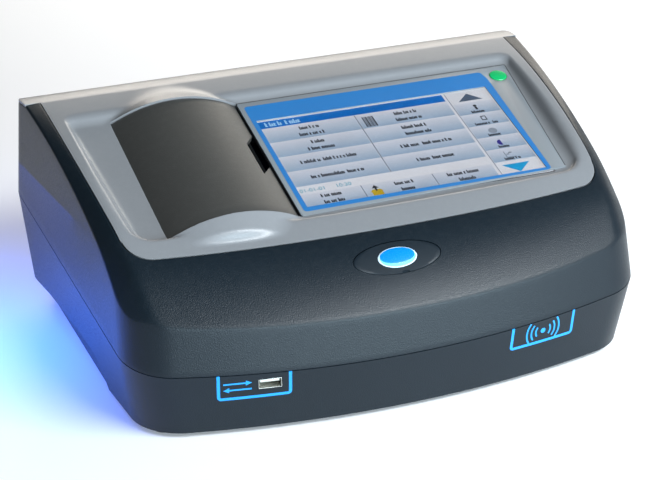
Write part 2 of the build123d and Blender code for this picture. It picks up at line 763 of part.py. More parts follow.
switch_x = port_xs[0]
switch_z = 53.0
switch_w = 19.0
switch_h = 13.0
rear_panel = rear_panel - port(switch_x, switch_z, switch_w, switch_h)
flange_box = box(switch_x - switch_w / 2 - 1.5, switch_x + switch_w / 2 + 1.5, panel_out, panel_out + 1.4,
                 switch_z - switch_h / 2 - 1.5, switch_z + switch_h / 2 + 1.5)
switch_body = flange_box + box(switch_x - switch_w / 2, switch_x + switch_w / 2, panel_out - 16, panel_out,
                               switch_z - switch_h / 2, switch_z + switch_h / 2)
switch_cavity = box(switch_x - 8, switch_x + 8, panel_out - 10, panel_out + 3, switch_z - 5, switch_z + 5)
switch_body = switch_body - switch_cavity
rocker_points = [(-7, 4.6), (0, 3.4), (7, 4.6), (7, 1), (2, -4.6), (-2, -4.6), (-7, 1), (-7, 4.6)]
rocker_face = outline(Polyline(*rocker_points))
rocker_pivot_y = panel_out - 4.2
rocker_travel = 14.0
rocker = Rot(0, 0, -rocker_travel / 2) * extrude(rocker_face, 9.4)
rocker = Pos(switch_x, rocker_pivot_y, switch_z - 4.7) * rocker
keep("switch_body", switch_body)
keep("power_rocker", rocker)

door_x = lamp_x
door_z = 41.0
door_half = 19.0
rear_panel = rear_panel - box(door_x - door_half + 5, door_x + door_half - 5, panel_in - 1, panel_out + 1,
                              door_z - door_half + 3, door_z + door_half - 3)
lamp_door = box(door_x - door_half, door_x + door_half, panel_out, panel_out + 2, door_z - door_half,
                door_z + door_half)
door_screws = []
for x in (door_x - door_half + 2.6, door_x + door_half - 2.6):
    lamp_door = lamp_door - rod((x, panel_out - 1, door_z), (0, 1, 0), screw_radius + gap, 5)
    rear_panel = rear_panel - rod((x, panel_out - 5, door_z), (0, 1, 0), screw_radius + gap, 9)
    screw = rod((x, panel_out + 2, door_z), (0, 1, 0), 2.4, 0.9) + rod((x, panel_out + 2, door_z), (0, -1, 0),
                                                                     screw_radius, 6)
    door_screws.append(screw.solid())
keep("lamp_door", lamp_door)
keep("door_screws", Compound(children=door_screws))
keep("rear_panel", rear_panel)

# Fan behind the vent
fan_out = wall_in
fan_frame = box(vent_x - fan_size / 2, vent_x + fan_size / 2, fan_out - fan_depth, fan_out,
                vent_z - fan_size / 2, vent_z + fan_size / 2)
fan_frame = fan_frame - rod((vent_x, fan_out + 1, vent_z), (0, -1, 0), fan_size / 2 - 1.2, fan_depth + 2)
hub_radius = 9.0
stator = rod((vent_x, fan_out - fan_depth, vent_z), (0, 1, 0), hub_radius, 1.6)
stator = stator + rod((vent_x, fan_out - fan_depth, vent_z), (0, 1, 0), 1.5, fan_depth - 1)
for turn in (45, 135):
    arm = Pos(vent_x, fan_out - fan_depth + 0.8, vent_z) * Rot(0, turn, 0) * Box(fan_size + 6, 1.6, 2.4)
    inside = box(vent_x - fan_size / 2, vent_x + fan_size / 2, 0, 200, vent_z - fan_size / 2,
                 vent_z + fan_size / 2)
    stator = stator + (arm & inside)
fan_frame = fan_frame + stator
keep("fan_frame", fan_frame)
rotor = tube((vent_x, fan_out - fan_depth + 1.9, vent_z), (0, 1, 0), hub_radius, 1.55, fan_depth - 3)
for i in range(7):
    blade = Pos(hub_radius + 4.1, 0, 0) * Rot(32, 0, 0) * Box(9.0, 9.0, 0.9)
    rotor = rotor + Pos(vent_x, fan_out - fan_depth + 5.4, vent_z) * Rot(0, i * 360 / 7, 0) * blade
slice_low = fan_out - fan_depth + 1.9
rotor = rotor & rod((vent_x, slice_low, vent_z), (0, 1, 0), fan_size / 2 - 2.2, fan_depth - 3)
keep("fan_rotor", rotor)

# Cell compartment
tub_top = 150.0
tub = box(tub_x0, tub_x1, tub_y0, tub_y1, floor_z, tub_top)
tub = tub - box(tub_x0 + tub_wall, tub_x1 - tub_wall, tub_y0 + tub_wall, tub_y1 - tub_wall,
                floor_z + tub_wall, tub_top + 1)
under_lid = lid_cylinder(rail_outer - track_thickness - gap, -120, 120)
low_half = floor_box(-big, big, -200, 200, -200, -floor_thickness - gap)
tub_limit = (under_lid + box(tub_x0 - 1, tub_x1 + 1, -200, 200, 0, 40)) & low_half
tub = tub & tub_limit
beam = rod((tub_x0 - 20, beam_y, beam_z), (1, 0, 0), 3.0, 110)
tub = tub - beam
reader_x = round_well_x
reader_z = 63.0
reader_window = box(reader_x - 3, reader_x + 3, tub_y0 - 1, beam_y, reader_z - 10, reader_z + 10)
tub = tub - reader_window
keep("sample_tub", tub)
holder_z0 = floor_z + tub_wall
holder = box(tub_x0 + tub_wall + 1, tub_x1 - tub_wall - 1, beam_y - 24, beam_y + 24, holder_z0, holder_top_z)
motor_radius = 11.0
holder = holder - rod((round_well_x, beam_y, well_bottom_z), (0, 0, 1), round_well_radius, 100)
holder = holder - rod((round_well_x, beam_y, holder_z0 - 1), (0, 0, 1), motor_radius + gap,
                      well_bottom_z - holder_z0 + 1)
holder = holder - box(slot_x0, slot_x1, beam_y - slot_width / 2, beam_y + slot_width / 2, 30, 120)
holder = holder - beam - reader_window
keep("cell_holder", holder)
turntable_motor = rod((round_well_x, beam_y, holder_z0), (0, 0, 1), motor_radius, 7.6)
turntable_motor = turntable_motor + rod((round_well_x, beam_y, holder_z0), (0, 0, 1), 1.5, 10.2)
keep("turntable_motor", turntable_motor)
turntable = tube((round_well_x, beam_y, holder_z0 + 7.9), (0, 0, 1), round_well_radius - gap, 1.55, 2.8)
rib = box(round_well_x + 2.2, round_well_x + 5.2, beam_y - 0.5, beam_y + 0.5,
          holder_z0 + 10.6, holder_z0 + 11.4)
keep("vial_turntable", turntable + rib)
keep("barcode_reader", box(reader_x - 12, reader_x + 12, tub_y0 - 16, tub_y0, reader_z - 11, reader_z + 11))
keep("sample_detector", box(tub_x0 - 10, tub_x0, beam_y - 8, beam_y + 8, beam_z - 8, beam_z + 8))

# Optical base with its pedestals
base_top = base_bottom_z + base_thickness
optical_base = box(base_x0, base_x1, base_y0, base_y1, base_bottom_z, base_top)
optics_screws = []
for x, y in base_pads:
    hole = rod((x, y, floor_z + 2), (0, 0, 1), screw_radius + gap, 60)
    optical_base = optical_base - hole
    screw = rod((x, y, base_top), (0, 0, 1), screw_head_radius, screw_head_height)
    optics_screws.append((screw + rod((x, y, base_top), (0, 0, -1), screw_radius, 9)).solid())
keep("optics_screws", Compound(children=optics_screws))


pedestals = []


def pedestal(x0, x1, y0, y1, top):
    """A raised pad cast on the optical base."""
    pedestals.append(box(x0, x1, y0, y1, base_top - 1, top))


lamp_holder = box(lamp_x - 12, lamp_x + 12, lamp_y - 12, lamp_y + 12, base_top, beam_z - 9)
keep("lamp_holder", lamp_holder)
bulb = rod((lamp_x, lamp_y, beam_z - 9), (0, 0, 1), 5.5, 12) + Pos(lamp_x, lamp_y, beam_z + 3) * Sphere(5.5)
keep("halogen_lamp", bulb)
sink = box(lamp_x + 12, lamp_x + 14.5, lamp_y - 12, lamp_y + 12, base_top, beam_z + 6)
for i in range(5):
    y = lamp_y - 12 + i * 5.6
    sink = sink + box(lamp_x + 14, lamp_x + 21, y, y + 1.6, base_top, beam_z + 6)
keep("heat_sink", sink)
lens_x = lamp_x - 28
lens_mount = box(lens_x - 4, lens_x + 4, lamp_y - 12, lamp_y + 12, base_top, beam_z + 12)
lens_mount = lens_mount - rod((lens_x - 5, lamp_y, beam_z), (1, 0, 0), 7.5, 20)
lens_mount = lens_mount - rod((lens_x - 3, lamp_y, beam_z), (1, 0, 0), 9 + gap, 8)
keep("lens_mount", lens_mount)
keep("condenser_lens", rod((lens_x - 3, lamp_y, beam_z), (1, 0, 0), 9, 5))

wheel_y = lamp_y - wheel_offset
motor_x0 = wheel_x - 20
wheel_half = 12.0
pedestal(motor_x0, motor_x0 + 16, wheel_y - wheel_half, wheel_y + wheel_half, beam_z - wheel_half)
filter_motor = box(motor_x0, motor_x0 + 16, wheel_y - wheel_half, wheel_y + wheel_half, beam_z - wheel_half,
                   beam_z + wheel_half)
filter_motor = filter_motor + rod((motor_x0 + 16, wheel_y, beam_z), (1, 0, 0), 2.5, 8)
keep("filter_motor", filter_motor)
wheel = tube((motor_x0 + 16.3, wheel_y, beam_z), (1, 0, 0), wheel_radius, 2.55, 3)
wheel = wheel + tube((motor_x0 + 19.3, wheel_y, beam_z), (1, 0, 0), 6, 2.55, 3)
filters = []
for i in range(6):
    turn = math.radians(60 * i)
    y = wheel_y + wheel_offset * math.cos(turn)
    z = beam_z + wheel_offset * math.sin(turn)
    wheel = wheel - rod((motor_x0 + 16.8, y, z), (1, 0, 0), 5 + gap, 5)
    wheel = wheel - rod((motor_x0 + 16, y, z), (1, 0, 0), 4, 5)
    filters.append(rod((motor_x0 + 16.8, y, z), (1, 0, 0), 5, 2).solid())
keep("filter_wheel", wheel)
keep("filters", Compound(children=filters))


def slit_plate(x, y):
    """A thin upright plate with a narrow slit at the beam's height."""
    plate = box(x, x + 1.2, y - 10, y + 10, base_top, beam_z + 12)
    return plate - box(x - 1, x + 3, y - 0.5, y + 0.5, beam_z - 4, beam_z + 4)


keep("entrance_slit", slit_plate(motor_x0 - 10, lamp_y))
keep("exit_slit", slit_plate(grating_x - 40, beam_y))


def tilted(x, y, turn, depth, width, z0, z1):
    """An upright block turned about Z."""
    return Pos(x, y, (z0 + z1) / 2) * Rot(0, 0, turn) * Box(depth, width, z1 - z0)


mirror_z0 = beam_z - 13
for name, x, y, turn in (("collimating_mirror", -20.0, 84.0, 14.0), ("focusing_mirror", 100.0, 14.0, -8.0)):
    keep(name, tilted(x, y, turn, 6, 26, mirror_z0, beam_z + 13))
    pedestal(x - 6, x + 6, y - 9, y + 9, mirror_z0)
grating_motor_top = base_top + 10
grating_motor = box(grating_x - 14, grating_x + 14, grating_y - 14, grating_y + 14, base_top,
                    grating_motor_top)
keep("grating_motor", grating_motor + rod((grating_x, grating_y, grating_motor_top), (0, 0, 1), 3, 4))
turret_z0 = grating_motor_top + gap
turret_z1 = turret_z0 + 4.3
turret = rod((grating_x, grating_y, turret_z0), (0, 0, 1), 14, 4.3)
turret = turret - rod((grating_x, grating_y, turret_z0 - 1), (0, 0, 1), 3.05, 5)
keep("grating_turret", turret)
keep("grating", tilted(grating_x, grating_y, 30, 6, 20, turret_z1, turret_z1 + 20))
keep("beam_splitter", tilted(-14.0, beam_y, 45, 1.5, 14, beam_z - 8, beam_z + 8))
pedestal(-20, -8, beam_y - 6, beam_y + 6, beam_z - 8)
keep("reference_detector", box(-20, -8, beam_y - 30, beam_y - 20, beam_z - 7, beam_z + 7))
pedestal(-20, -8, beam_y - 30, beam_y - 20, beam_z - 7)
for pad in pedestals:
    optical_base = optical_base + pad
keep("optical_base", optical_base)

os.makedirs("parts", exist_ok=True)
for name, shape in nodes.items():
    export_step(shape, f"parts/{name}.step")
print(len(nodes), "nodes")
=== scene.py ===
"""Bench spectrophotometer: shells, lid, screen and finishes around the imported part."""

import json
import math
import random

import bmesh
import bpy
from mathutils import Matrix, Vector

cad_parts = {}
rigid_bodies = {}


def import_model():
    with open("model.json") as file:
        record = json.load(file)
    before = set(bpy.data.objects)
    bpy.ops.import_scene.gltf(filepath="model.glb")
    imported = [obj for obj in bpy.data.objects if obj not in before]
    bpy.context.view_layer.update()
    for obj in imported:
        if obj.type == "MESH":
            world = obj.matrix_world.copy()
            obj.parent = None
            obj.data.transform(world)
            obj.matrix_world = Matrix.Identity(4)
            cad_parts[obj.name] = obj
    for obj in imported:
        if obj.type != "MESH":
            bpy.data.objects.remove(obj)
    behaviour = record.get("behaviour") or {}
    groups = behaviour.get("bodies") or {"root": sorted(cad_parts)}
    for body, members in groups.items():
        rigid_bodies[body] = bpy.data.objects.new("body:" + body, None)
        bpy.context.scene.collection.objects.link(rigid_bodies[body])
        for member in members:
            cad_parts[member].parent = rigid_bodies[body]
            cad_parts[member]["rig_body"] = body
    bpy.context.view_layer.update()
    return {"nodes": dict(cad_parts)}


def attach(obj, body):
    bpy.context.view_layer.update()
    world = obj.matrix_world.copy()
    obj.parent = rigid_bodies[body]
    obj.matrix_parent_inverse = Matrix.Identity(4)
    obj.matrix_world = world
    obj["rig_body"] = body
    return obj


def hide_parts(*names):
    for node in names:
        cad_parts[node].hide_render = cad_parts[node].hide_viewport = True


bl_info = {
    "name": "Bench Spectrophotometer",
    "version": (1, 0, 0),
    "blender": (4, 5, 0),
    "location": "View3D > Sidebar > Spectrophotometer",
    "description": "Dresses the packed spectrophotometer with its shells, lid, screen and finishes",
    "category": "Object",
}

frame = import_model()

# All lengths below are millimetres, and meshes are scaled by MM when they are written
MM = 0.001

# Case walls and top surface, as in the part's source
CASE_WIDTH, CASE_DEPTH, FRONT_NARROWING = 350.0, 255.0, 30.0
PARTING_FRONT_Z, PARTING_REAR_Z, TOP_Z = 38.8, 85.0, 165.0
SIDE_DRAFT, FRONT_DRAFT, REAR_DRAFT, FRONT_BOW = 0.065, 0.19, 0.03, 30.0
FRONT_CORNER, REAR_CORNER = 34.0, 22.0
BROW_Y, BROW_Z, BROW_CURVE = -80.5, 98.7, 0.0091
RIM_SLOPE, RIM_CURVE, RIM_CUBIC = 0.418, 0.00087, 1.0e-7
FULL_BOW, BOW_START, BOW_REACH, CREST_Y = 24.0, -38.0, 43.0, 91.3
SHOULDER_REAR, SHOULDER_SLOPE, SHOULDER_FRONT = 0.65, 4.0, 6.5
SHOULDER_ROUND, SHOULDER_KNEE, SHOULDER_FRONT_Y = 0.3, 0.6, -76.0
CREASE_REAR_HALF, CREASE_FRONT_LOSS = 169.9, 10.7
SHELL_WALL, STRIP_EDGE, UNDER_STRIP, SEAM, REVEAL = 3.0, 1.3, 7.5, 0.25, 0.4

# Bezel
BEZEL_REAR_HALF, BEZEL_FRONT_HALF, BEZEL_CORNER_Y = 158.95, 149.0, -69.5
BEZEL_BOW, BEZEL_BULGE, BEZEL_CORNER = 11.0, 1.9, 17.0
FLOOR_TILT, FLOOR_Y, FLOOR_Z = math.radians(15.5), 4.0, 120.351
RECESS_REAR_HALF, RECESS_FRONT_HALF, RECESS_FRONT, RECESS_REAR = 147.5, 139.5, -66.0, 60.5
RECESS_FLARE, RECESS_REAR_FLARE, RECESS_CORNER, FLARE_HEIGHT = 8.4, 19.0, 12.0, 12.0
RECESS_BOW, RECESS_REAR_CORNER, RECESS_CAP, BEZEL_WALL = 4.0, 4.0, 7.0, 2.4

# Lid
LID_X, LID_RADIUS, LID_WALL, LID_RISE = -82.0, 75.0, 2.5, 10.9
LID_FRONT, LID_REAR, LID_LEFT, LID_RIGHT = -62.7, 59.0, 35.5, 32.0
LID_AXIS_H = LID_RISE - LID_RADIUS
ARCH_RADIUS, ARCH_LENGTH, ARCH_FALL, LID_GAP = 76.0, 22.5, 9.5, 0.6
ARCH_EDGE_NEAR, ARCH_EDGE_FAR, ARCH_REACH, ARCH_BLEND, NO_ARCH = 4.5, 9.5, 2.8, 2.6, -50.0

# Screen
SCREEN = (-35.1, 121.9, -55.4, 37.6)
OVERLAY_TOP, FOIL_REAR_RIGHT, FOIL_FRONT_RIGHT = 0.8, 145.8, 134.5


def srgb(r, g, b):
    """A screen colour from 0 to 255 as a linear colour."""
    line = [c / 255 / 12.92 if c <= 10 else ((c / 255 + 0.055) / 1.055) ** 2.4 for c in (r, g, b)]
    return (*line, 1.0)


def colour(label, description, value):
    """A colour property."""
    return bpy.props.FloatVectorProperty(name=label, description=description, subtype="COLOR", size=4,
                                         min=0.0, max=1.0, default=value)


def length(label, description, value):
    """A length property."""
    return bpy.props.FloatProperty(name=label, description=description, unit="LENGTH", default=value)


def power(label, description, value):
    """A lamp's power property."""
    return bpy.props.FloatProperty(name=label, description=description, unit="POWER", default=value)


class SpectroColours(bpy.types.PropertyGroup):
    """Colours of the finishes."""

    shell: colour("Shell", "Dark slate of the two shells", srgb(16, 25, 32))
    bezel: colour("Bezel", "Light grey of the top cover", srgb(119, 120, 123))
    lid: colour("Lid", "Warm dark grey of the lid", srgb(54, 53, 51))
    overlay: colour("Overlay", "Grey foil round the screen", srgb(124, 129, 134))
    frame_blue: colour("Frame blue", "Blue printed round the screen", srgb(28, 104, 164))
    sign_blue: colour("Sign blue", "Blue of the outlines on the front", srgb(14, 140, 220))
    button_light: colour("Button top", "Top of a button on the screen", srgb(222, 222, 232))
    button_dark: colour("Button foot", "Foot of a button on the screen", srgb(158, 180, 206))


class SpectroSizes(bpy.types.PropertyGroup):
    """Small sizes of the dressed pieces."""

    crease_round: length("Crease round", "Rounding where the walls meet the top", 0.0015)
    edge_round: length("Edge round", "Rounding at the shell's and bezel's edges", 0.0006)
    rim_round: length("Rim round", "Rounding at the rim of the sunken panel", 0.0032)
    lid_edge: length("Lid edge", "Rounding at the lid's edges", 0.0006)
    ink: length("Ink", "Thickness of printed layers", 0.00008)


class SpectroStage(bpy.types.PropertyGroup):
    """Floor and light."""

    floor: colour("Floor", "Pale floor", srgb(238, 239, 242))
    sky: bpy.props.FloatProperty(name="Sky", description="Strength of the even light", default=0.75)
    lift: bpy.props.FloatProperty(name="Lift", description="Glow that keeps the floor pale", default=0.16)
    key: power("Key", "Power of the soft light over the front", 36.0)
    front: power("Front", "Power of the wide light in front", 70.0)
    rear: power("Rear", "Power of the light behind", 13.0)
    glow: power("Glow", "Power of the cool light at the left", 1.2)


# Mesh helpers


def activate(obj):
    """Makes one object the only selected and active one."""
    if bpy.context.mode != "OBJECT":
        bpy.ops.object.mode_set(mode="OBJECT")
    bpy.ops.object.select_all(action="DESELECT")
    obj.hide_viewport = False
    obj.select_set(True)
    bpy.context.view_layer.objects.active = obj


def modify(obj, kind, **settings):
    """Adds a modifier and applies it."""
    activate(obj)
    modifier = obj.modifiers.new(kind.title(), kind)
    for key, value in settings.items():
        setattr(modifier, key, value)
    bpy.ops.object.modifier_apply(modifier=modifier.name)
    return obj


def turn_outward(obj):
    """Turns all faces outwards."""
    activate(obj)
    bpy.ops.object.mode_set(mode="EDIT")
    bpy.ops.mesh.select_all(action="SELECT")
    bpy.ops.mesh.normals_make_consistent(inside=False)
    bpy.ops.object.mode_set(mode="OBJECT")
    return obj


def clean(obj, merge=0.00001, outward=True):
    """Merges doubles and turns all faces outwards."""
    activate(obj)
    bpy.ops.object.mode_set(mode="EDIT")
    bpy.ops.mesh.select_all(action="SELECT")
    bpy.ops.mesh.remove_doubles(threshold=merge)
    bpy.ops.mesh.dissolve_degenerate(threshold=merge / 4)
    bpy.ops.object.mode_set(mode="OBJECT")
    return turn_outward(obj) if outward else obj


def smooth(obj, angle=30.0):
    """Smooth shading with sharp edges past the angle."""
    activate(obj)
    bpy.ops.object.shade_smooth_by_angle(angle=math.radians(angle))
    return obj


def finish_piece(obj, material, body="case", replaces=()):
    """Gives a piece its material, its body and the nodes that it stands for."""
    obj.data.materials.clear()
    obj.data.materials.append(material)
    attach(obj, body)
    if replaces:
        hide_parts(*replaces)
    return obj


def bent_grid(name, columns, rows, place):
    """A primitive grid laid on a form: place(i, j) gives column i and row j in millimetres."""
    activate_none()
    bpy.ops.mesh.primitive_grid_add(x_subdivisions=columns, y_subdivisions=rows, size=1)
    obj = bpy.context.object
    obj.name = obj.data.name = name
    co = [c * MM for j in range(rows + 1) for i in range(columns + 1) for c in place(i, j)]
    obj.data.vertices.foreach_set("co", co)
    obj.matrix_world = Matrix.Identity(4)
    obj.data.update()
    return obj


def activate_none():
    """Deselects everything in object mode."""
    if bpy.context.mode != "OBJECT":
        bpy.ops.object.mode_set(mode="OBJECT")
    bpy.ops.object.select_all(action="DESELECT")


def join(name, *objs):
    """Joins meshes into the first."""
    activate_none()
    for obj in objs:
        obj.select_set(True)
    bpy.context.view_layer.objects.active = objs[0]
    bpy.ops.object.join()
    objs[0].name = objs[0].data.name = name
    return objs[0]


def mesh_piece(name, verts, faces):
    """A mesh from points in millimetres and faces."""
    mesh = bpy.data.meshes.new(name)
    mesh.from_pydata([tuple(c * MM for c in v) for v in verts], [], faces)
    obj = bpy.data.objects.new(name, mesh)
    bpy.context.scene.collection.objects.link(obj)
    return obj


def prisms(name, rings):
    """Closed prisms in one mesh, one for each pair of a low and a high ring of points."""
    verts, faces = [], []
    for low, high in rings:
        start, count = len(verts), len(low)
        verts += [*low, *high]
        for i in range(count):
            after = (i + 1) % count
            faces.append([start + i, start + after, start + count + after, start + count + i])
        faces.append([start + i for i in reversed(range(count))])
        faces.append([start + count + i for i in range(count)])
    return mesh_piece(name, verts, faces)


def cut(obj, cutter):
    """Cuts a closed mesh out of another, and deletes the cutter."""
    modify(obj, "BOOLEAN", operation="DIFFERENCE", solver="EXACT", object=cutter)
    bpy.data.objects.remove(cutter)
    return obj


def round_edges(obj, width, segments, angle):
    """Rounds the edges that are sharper than the angle."""
    return modify(obj, "BEVEL", width=width, segments=segments, limit_method="ANGLE",
                  angle_limit=math.radians(angle))


def refined(name, node, edge=0.0002, segments=2, angle=34.0):
    """A copy of a CAD node with merged faces and small round edges."""
    source = frame["nodes"][node]
    obj = bpy.data.objects.new(name, source.data.copy())
    bpy.context.scene.collection.objects.link(obj)
    obj.data.name = name
    clean(obj, 0.000002, outward=False)
    if obj.data.has_custom_normals:
        activate(obj)
        bpy.ops.mesh.customdata_custom_splitnormals_clear()
    activate(obj)
    bpy.ops.object.mode_set(mode="EDIT")
    bpy.ops.mesh.select_all(action="SELECT")
    bpy.ops.mesh.dissolve_limited(angle_limit=math.radians(0.6))
    bpy.ops.object.mode_set(mode="OBJECT")
    if edge:
        round_edges(obj, edge, segments, angle)
    return smooth(obj)


# The case's form


def to_floor(x, v, h):
    """A place on the sunken floor as a point in the case's frame."""
    return (x, FLOOR_Y + v * math.cos(FLOOR_TILT) - h * math.sin(FLOOR_TILT),
            FLOOR_Z + v * math.sin(FLOOR_TILT) + h * math.cos(FLOOR_TILT))


def from_floor(point):
    """A point in the case's frame as a place on the sunken floor."""
    x, y, z = point
    c, s = math.cos(FLOOR_TILT), math.sin(FLOOR_TILT)
    return (x, (y - FLOOR_Y) * c + (z - FLOOR_Z) * s, -(y - FLOOR_Y) * s + (z - FLOOR_Z) * c)


FLOOR_MATRIX = Matrix((
    (1, 0, 0, 0),
    (0, math.cos(FLOOR_TILT), -math.sin(FLOOR_TILT), FLOOR_Y * MM),
    (0, math.sin(FLOOR_TILT), math.cos(FLOOR_TILT), FLOOR_Z * MM),
    (0, 0, 0, 1)))


def parting_z(y):
    """Height of the parting line at y."""
    return PARTING_FRONT_Z + (PARTING_REAR_Z - PARTING_FRONT_Z) * (y / CASE_DEPTH + 0.5)


PARTING_ANGLE = math.atan((PARTING_REAR_Z - PARTING_FRONT_Z) / CASE_DEPTH)


def bulge(share):
    """How far the bezel's side bends out past a straight line."""
    return BEZEL_BULGE * 4 * share * (1 - share)


def bezel_half(y):
    """Half-width of the bezel at y."""
    share = (CREST_Y - y) / (CREST_Y - BEZEL_CORNER_Y)
    straight = BEZEL_REAR_HALF + (BEZEL_FRONT_HALF - BEZEL_REAR_HALF) * share
    return straight + bulge(share)


def crown(y):
    """Height of the top surface along the middle."""
    run = y - BROW_Y
    if run >= 0:
        return BROW_Z + RIM_SLOPE * run - RIM_CURVE * run**2 + RIM_CUBIC * run**3
    return BROW_Z + RIM_SLOPE * run - BROW_CURVE * run**2


def front_top(x, y):
    """Height of the top surface in front of the crest."""
    along = (CREST_Y - y) / (CREST_Y - SHOULDER_FRONT_Y)
    half = bezel_half(y)
    share = (abs(x) - half) / (CREASE_REAR_HALF - CREASE_FRONT_LOSS * along - half)
    share = (share + math.sqrt(share**2 + SHOULDER_ROUND**2)) / 2
    drop = SHOULDER_REAR + SHOULDER_SLOPE * along + SHOULDER_FRONT * along**2
    past = max(0.0, (BOW_START - y) / BOW_REACH)
    bow = FULL_BOW * (1 - math.exp(-past**2))
    drop *= share**2 * (1 + SHOULDER_KNEE) / (share + SHOULDER_KNEE)
    return crown(y - bow * (x / (CASE_WIDTH / 2)) ** 2) - drop


CREST_Z = front_top(0, CREST_Y)
STRIP = [(40, 2.8), (60, 1.6), (91.3, 0), (107, -1.3), (118, -4.6), (124.5, -9.5), (128, -16), (130, -26)]


def strip_top(y):
    """Height of the rear strip at y, on a smooth curve through its points."""
    k = max(1, min(len(STRIP) - 3, sum(1 for p in STRIP if p[0] <= y) - 1))
    (y0, z0), (y1, z1), (y2, z2), (y3, z3) = STRIP[k - 1 : k + 3]
    t = (y - y1) / (y2 - y1)
    m1 = (z2 - z0) / (y2 - y0) * (y2 - y1)
    m2 = (z3 - z1) / (y3 - y1) * (y2 - y1)
    a, b = 2 * t**3 - 3 * t**2 + 1, t**3 - 2 * t**2 + t
    return CREST_Z + a * z1 + b * m1 + (1 - a) * z2 + (t**3 - t**2) * m2


def fillet_loop(front_half, corner_y, front_y, rear_half, rear_y, front_round, rear_round=None):
    """Curves of a rounded outline, right side first, then clockwise seen from above.

    Each takes 0 to 1 and gives (x, y): side, front corner, front arc, front corner, side and rear
    line, and with rear_round a corner before and after the rear line."""
    sag = corner_y - front_y
    big = (front_half**2 + sag**2) / (2 * sag)
    centre = Vector((0, front_y + big))
    a = Vector((front_half, corner_y))
    d = Vector((rear_half - front_half, rear_y - corner_y)).normalized()
    n = Vector((-d.y, d.x))
    w = a + front_round * n - centre
    t = -w.dot(d) - math.sqrt(w.dot(d) ** 2 - w.dot(w) + (big - front_round) ** 2)
    p = a + front_round * n + t * d
    on_side = a + t * d
    out = (p - centre).normalized()
    turn0 = math.atan2(-n.y, -n.x)
    turn1 = math.atan2(out.y, out.x)

    def front_corner(s):
        angle = turn0 + (turn1 - turn0) * s
        return (p.x + front_round * math.cos(angle), p.y + front_round * math.sin(angle))

    half_turn = math.atan2(out.x, -out.y)

    def front_arc(s):
        angle = half_turn * (1 - 2 * s)
        return (centre.x + big * math.sin(angle), centre.y - big * math.cos(angle))

    if rear_round:
        qy = rear_y - rear_round
        qx = a.x + (rear_round - (qy - a.y) * n.y) / n.x
        q = Vector((qx, qy))
        rear_on_side = q - rear_round * n

        def rear_corner(s):
            angle = math.pi / 2 + (turn0 - math.pi / 2) * s
            return (q.x + rear_round * math.cos(angle), q.y + rear_round * math.sin(angle))
    else:
        q = rear_on_side = Vector((rear_half, rear_y))

    def side(s):
        point = rear_on_side.lerp(on_side, s)
        return (point.x, point.y)

    def mirrored(curve):
        def back(s):
            x, y = curve(1 - s)
            return (-x, y)
        return back

    def rear_line(s):
        return (-q.x + 2 * q.x * s, rear_y)

    curves = [side, front_corner, front_arc, mirrored(front_corner), mirrored(side)]
    return curves + ([mirrored(rear_corner), rear_line, rear_corner] if rear_round else [rear_line])


def case_loop(side_inset, front_inset, rear_inset, stretch=1.0, shrink=0.0):
    """The case's outline, as the part's source draws it."""
    front_y = (-CASE_DEPTH / 2 + front_inset + shrink) * stretch
    rear_y = (CASE_DEPTH / 2 - rear_inset - shrink) * stretch
    rear_half = CASE_WIDTH / 2 - side_inset - shrink + FRONT_NARROWING / 2 * REAR_CORNER / CASE_DEPTH
    front_half = rear_half - FRONT_NARROWING / 2
    corner_y = front_y + FRONT_BOW * (front_half / (CASE_WIDTH / 2)) ** 2
    return fillet_loop(front_half, corner_y, front_y, rear_half, rear_y,
                       max(FRONT_CORNER - shrink, 4), max(REAR_CORNER - shrink, 4))


def wall_curves(shrink):
    """The upper wall's lower and upper outlines."""
    rise_front, rise_rear = TOP_Z - PARTING_FRONT_Z, TOP_Z - PARTING_REAR_Z
    low = case_loop(0, 0, 0, 1 / math.cos(PARTING_ANGLE), shrink)
    high = case_loop(SIDE_DRAFT * (rise_front + rise_rear) / 2, FRONT_DRAFT * rise_front,
                     REAR_DRAFT * rise_rear, 1.0, shrink)
    return low, high


SIDE_STEPS, CORNER_STEPS, FRONT_STEPS = 30, 16, 90
STRIP_SIDE, STRIP_CORNER, STRIP_LINE = 6, 10, 70
WALL_ROWS, BROW_ROWS, UNDER_ROWS = 9, 20, 8
HALVINGS = 26
WALLS = {0.0: wall_curves(0.0), SHELL_WALL: wall_curves(SHELL_WALL)}


def wall_point(spot, rise, shrink=0.0):
    """A point on the upper shell's wall: spot is (curve, share), rise goes from 0 at the parting."""
    low, high = WALLS[shrink]
    curve, share = spot
    x0, y0 = low[curve](share)
    y1, z1 = y0 * math.cos(PARTING_ANGLE), parting_z(0) + y0 * math.sin(PARTING_ANGLE)
    x2, y2 = high[curve](share)
    return Vector((x0 + (x2 - x0) * rise, y1 + (y2 - y1) * rise, z1 + (TOP_Z - z1) * rise))


def bisect(below, high=1.0):
    """The value up to which below(value) holds, found by halving."""
    low = 0.0
    for _ in range(HALVINGS):
        mid = (low + high) / 2
        if below(mid):
            low = mid
        else:
            high = mid
    return (low + high) / 2


def rise_to(spot, height, shrink=0.0):
    """How far up the wall its line meets the height that height(x, y) gives."""

    def below(rise):
        point = wall_point(spot, rise, shrink)
        return point.z < height(point.x, point.y)

    return bisect(below)


# Where along the side wall the crest meets it
CREST_SHARE = bisect(lambda share: wall_point((0, share), rise_to((0, share), front_top)).y > CREST_Y)


def places_on(curve, start, end, steps):
    """Even places on one curve of the case's outline, without the last."""
    return [(curve, start + (end - start) * i / steps) for i in range(steps)]


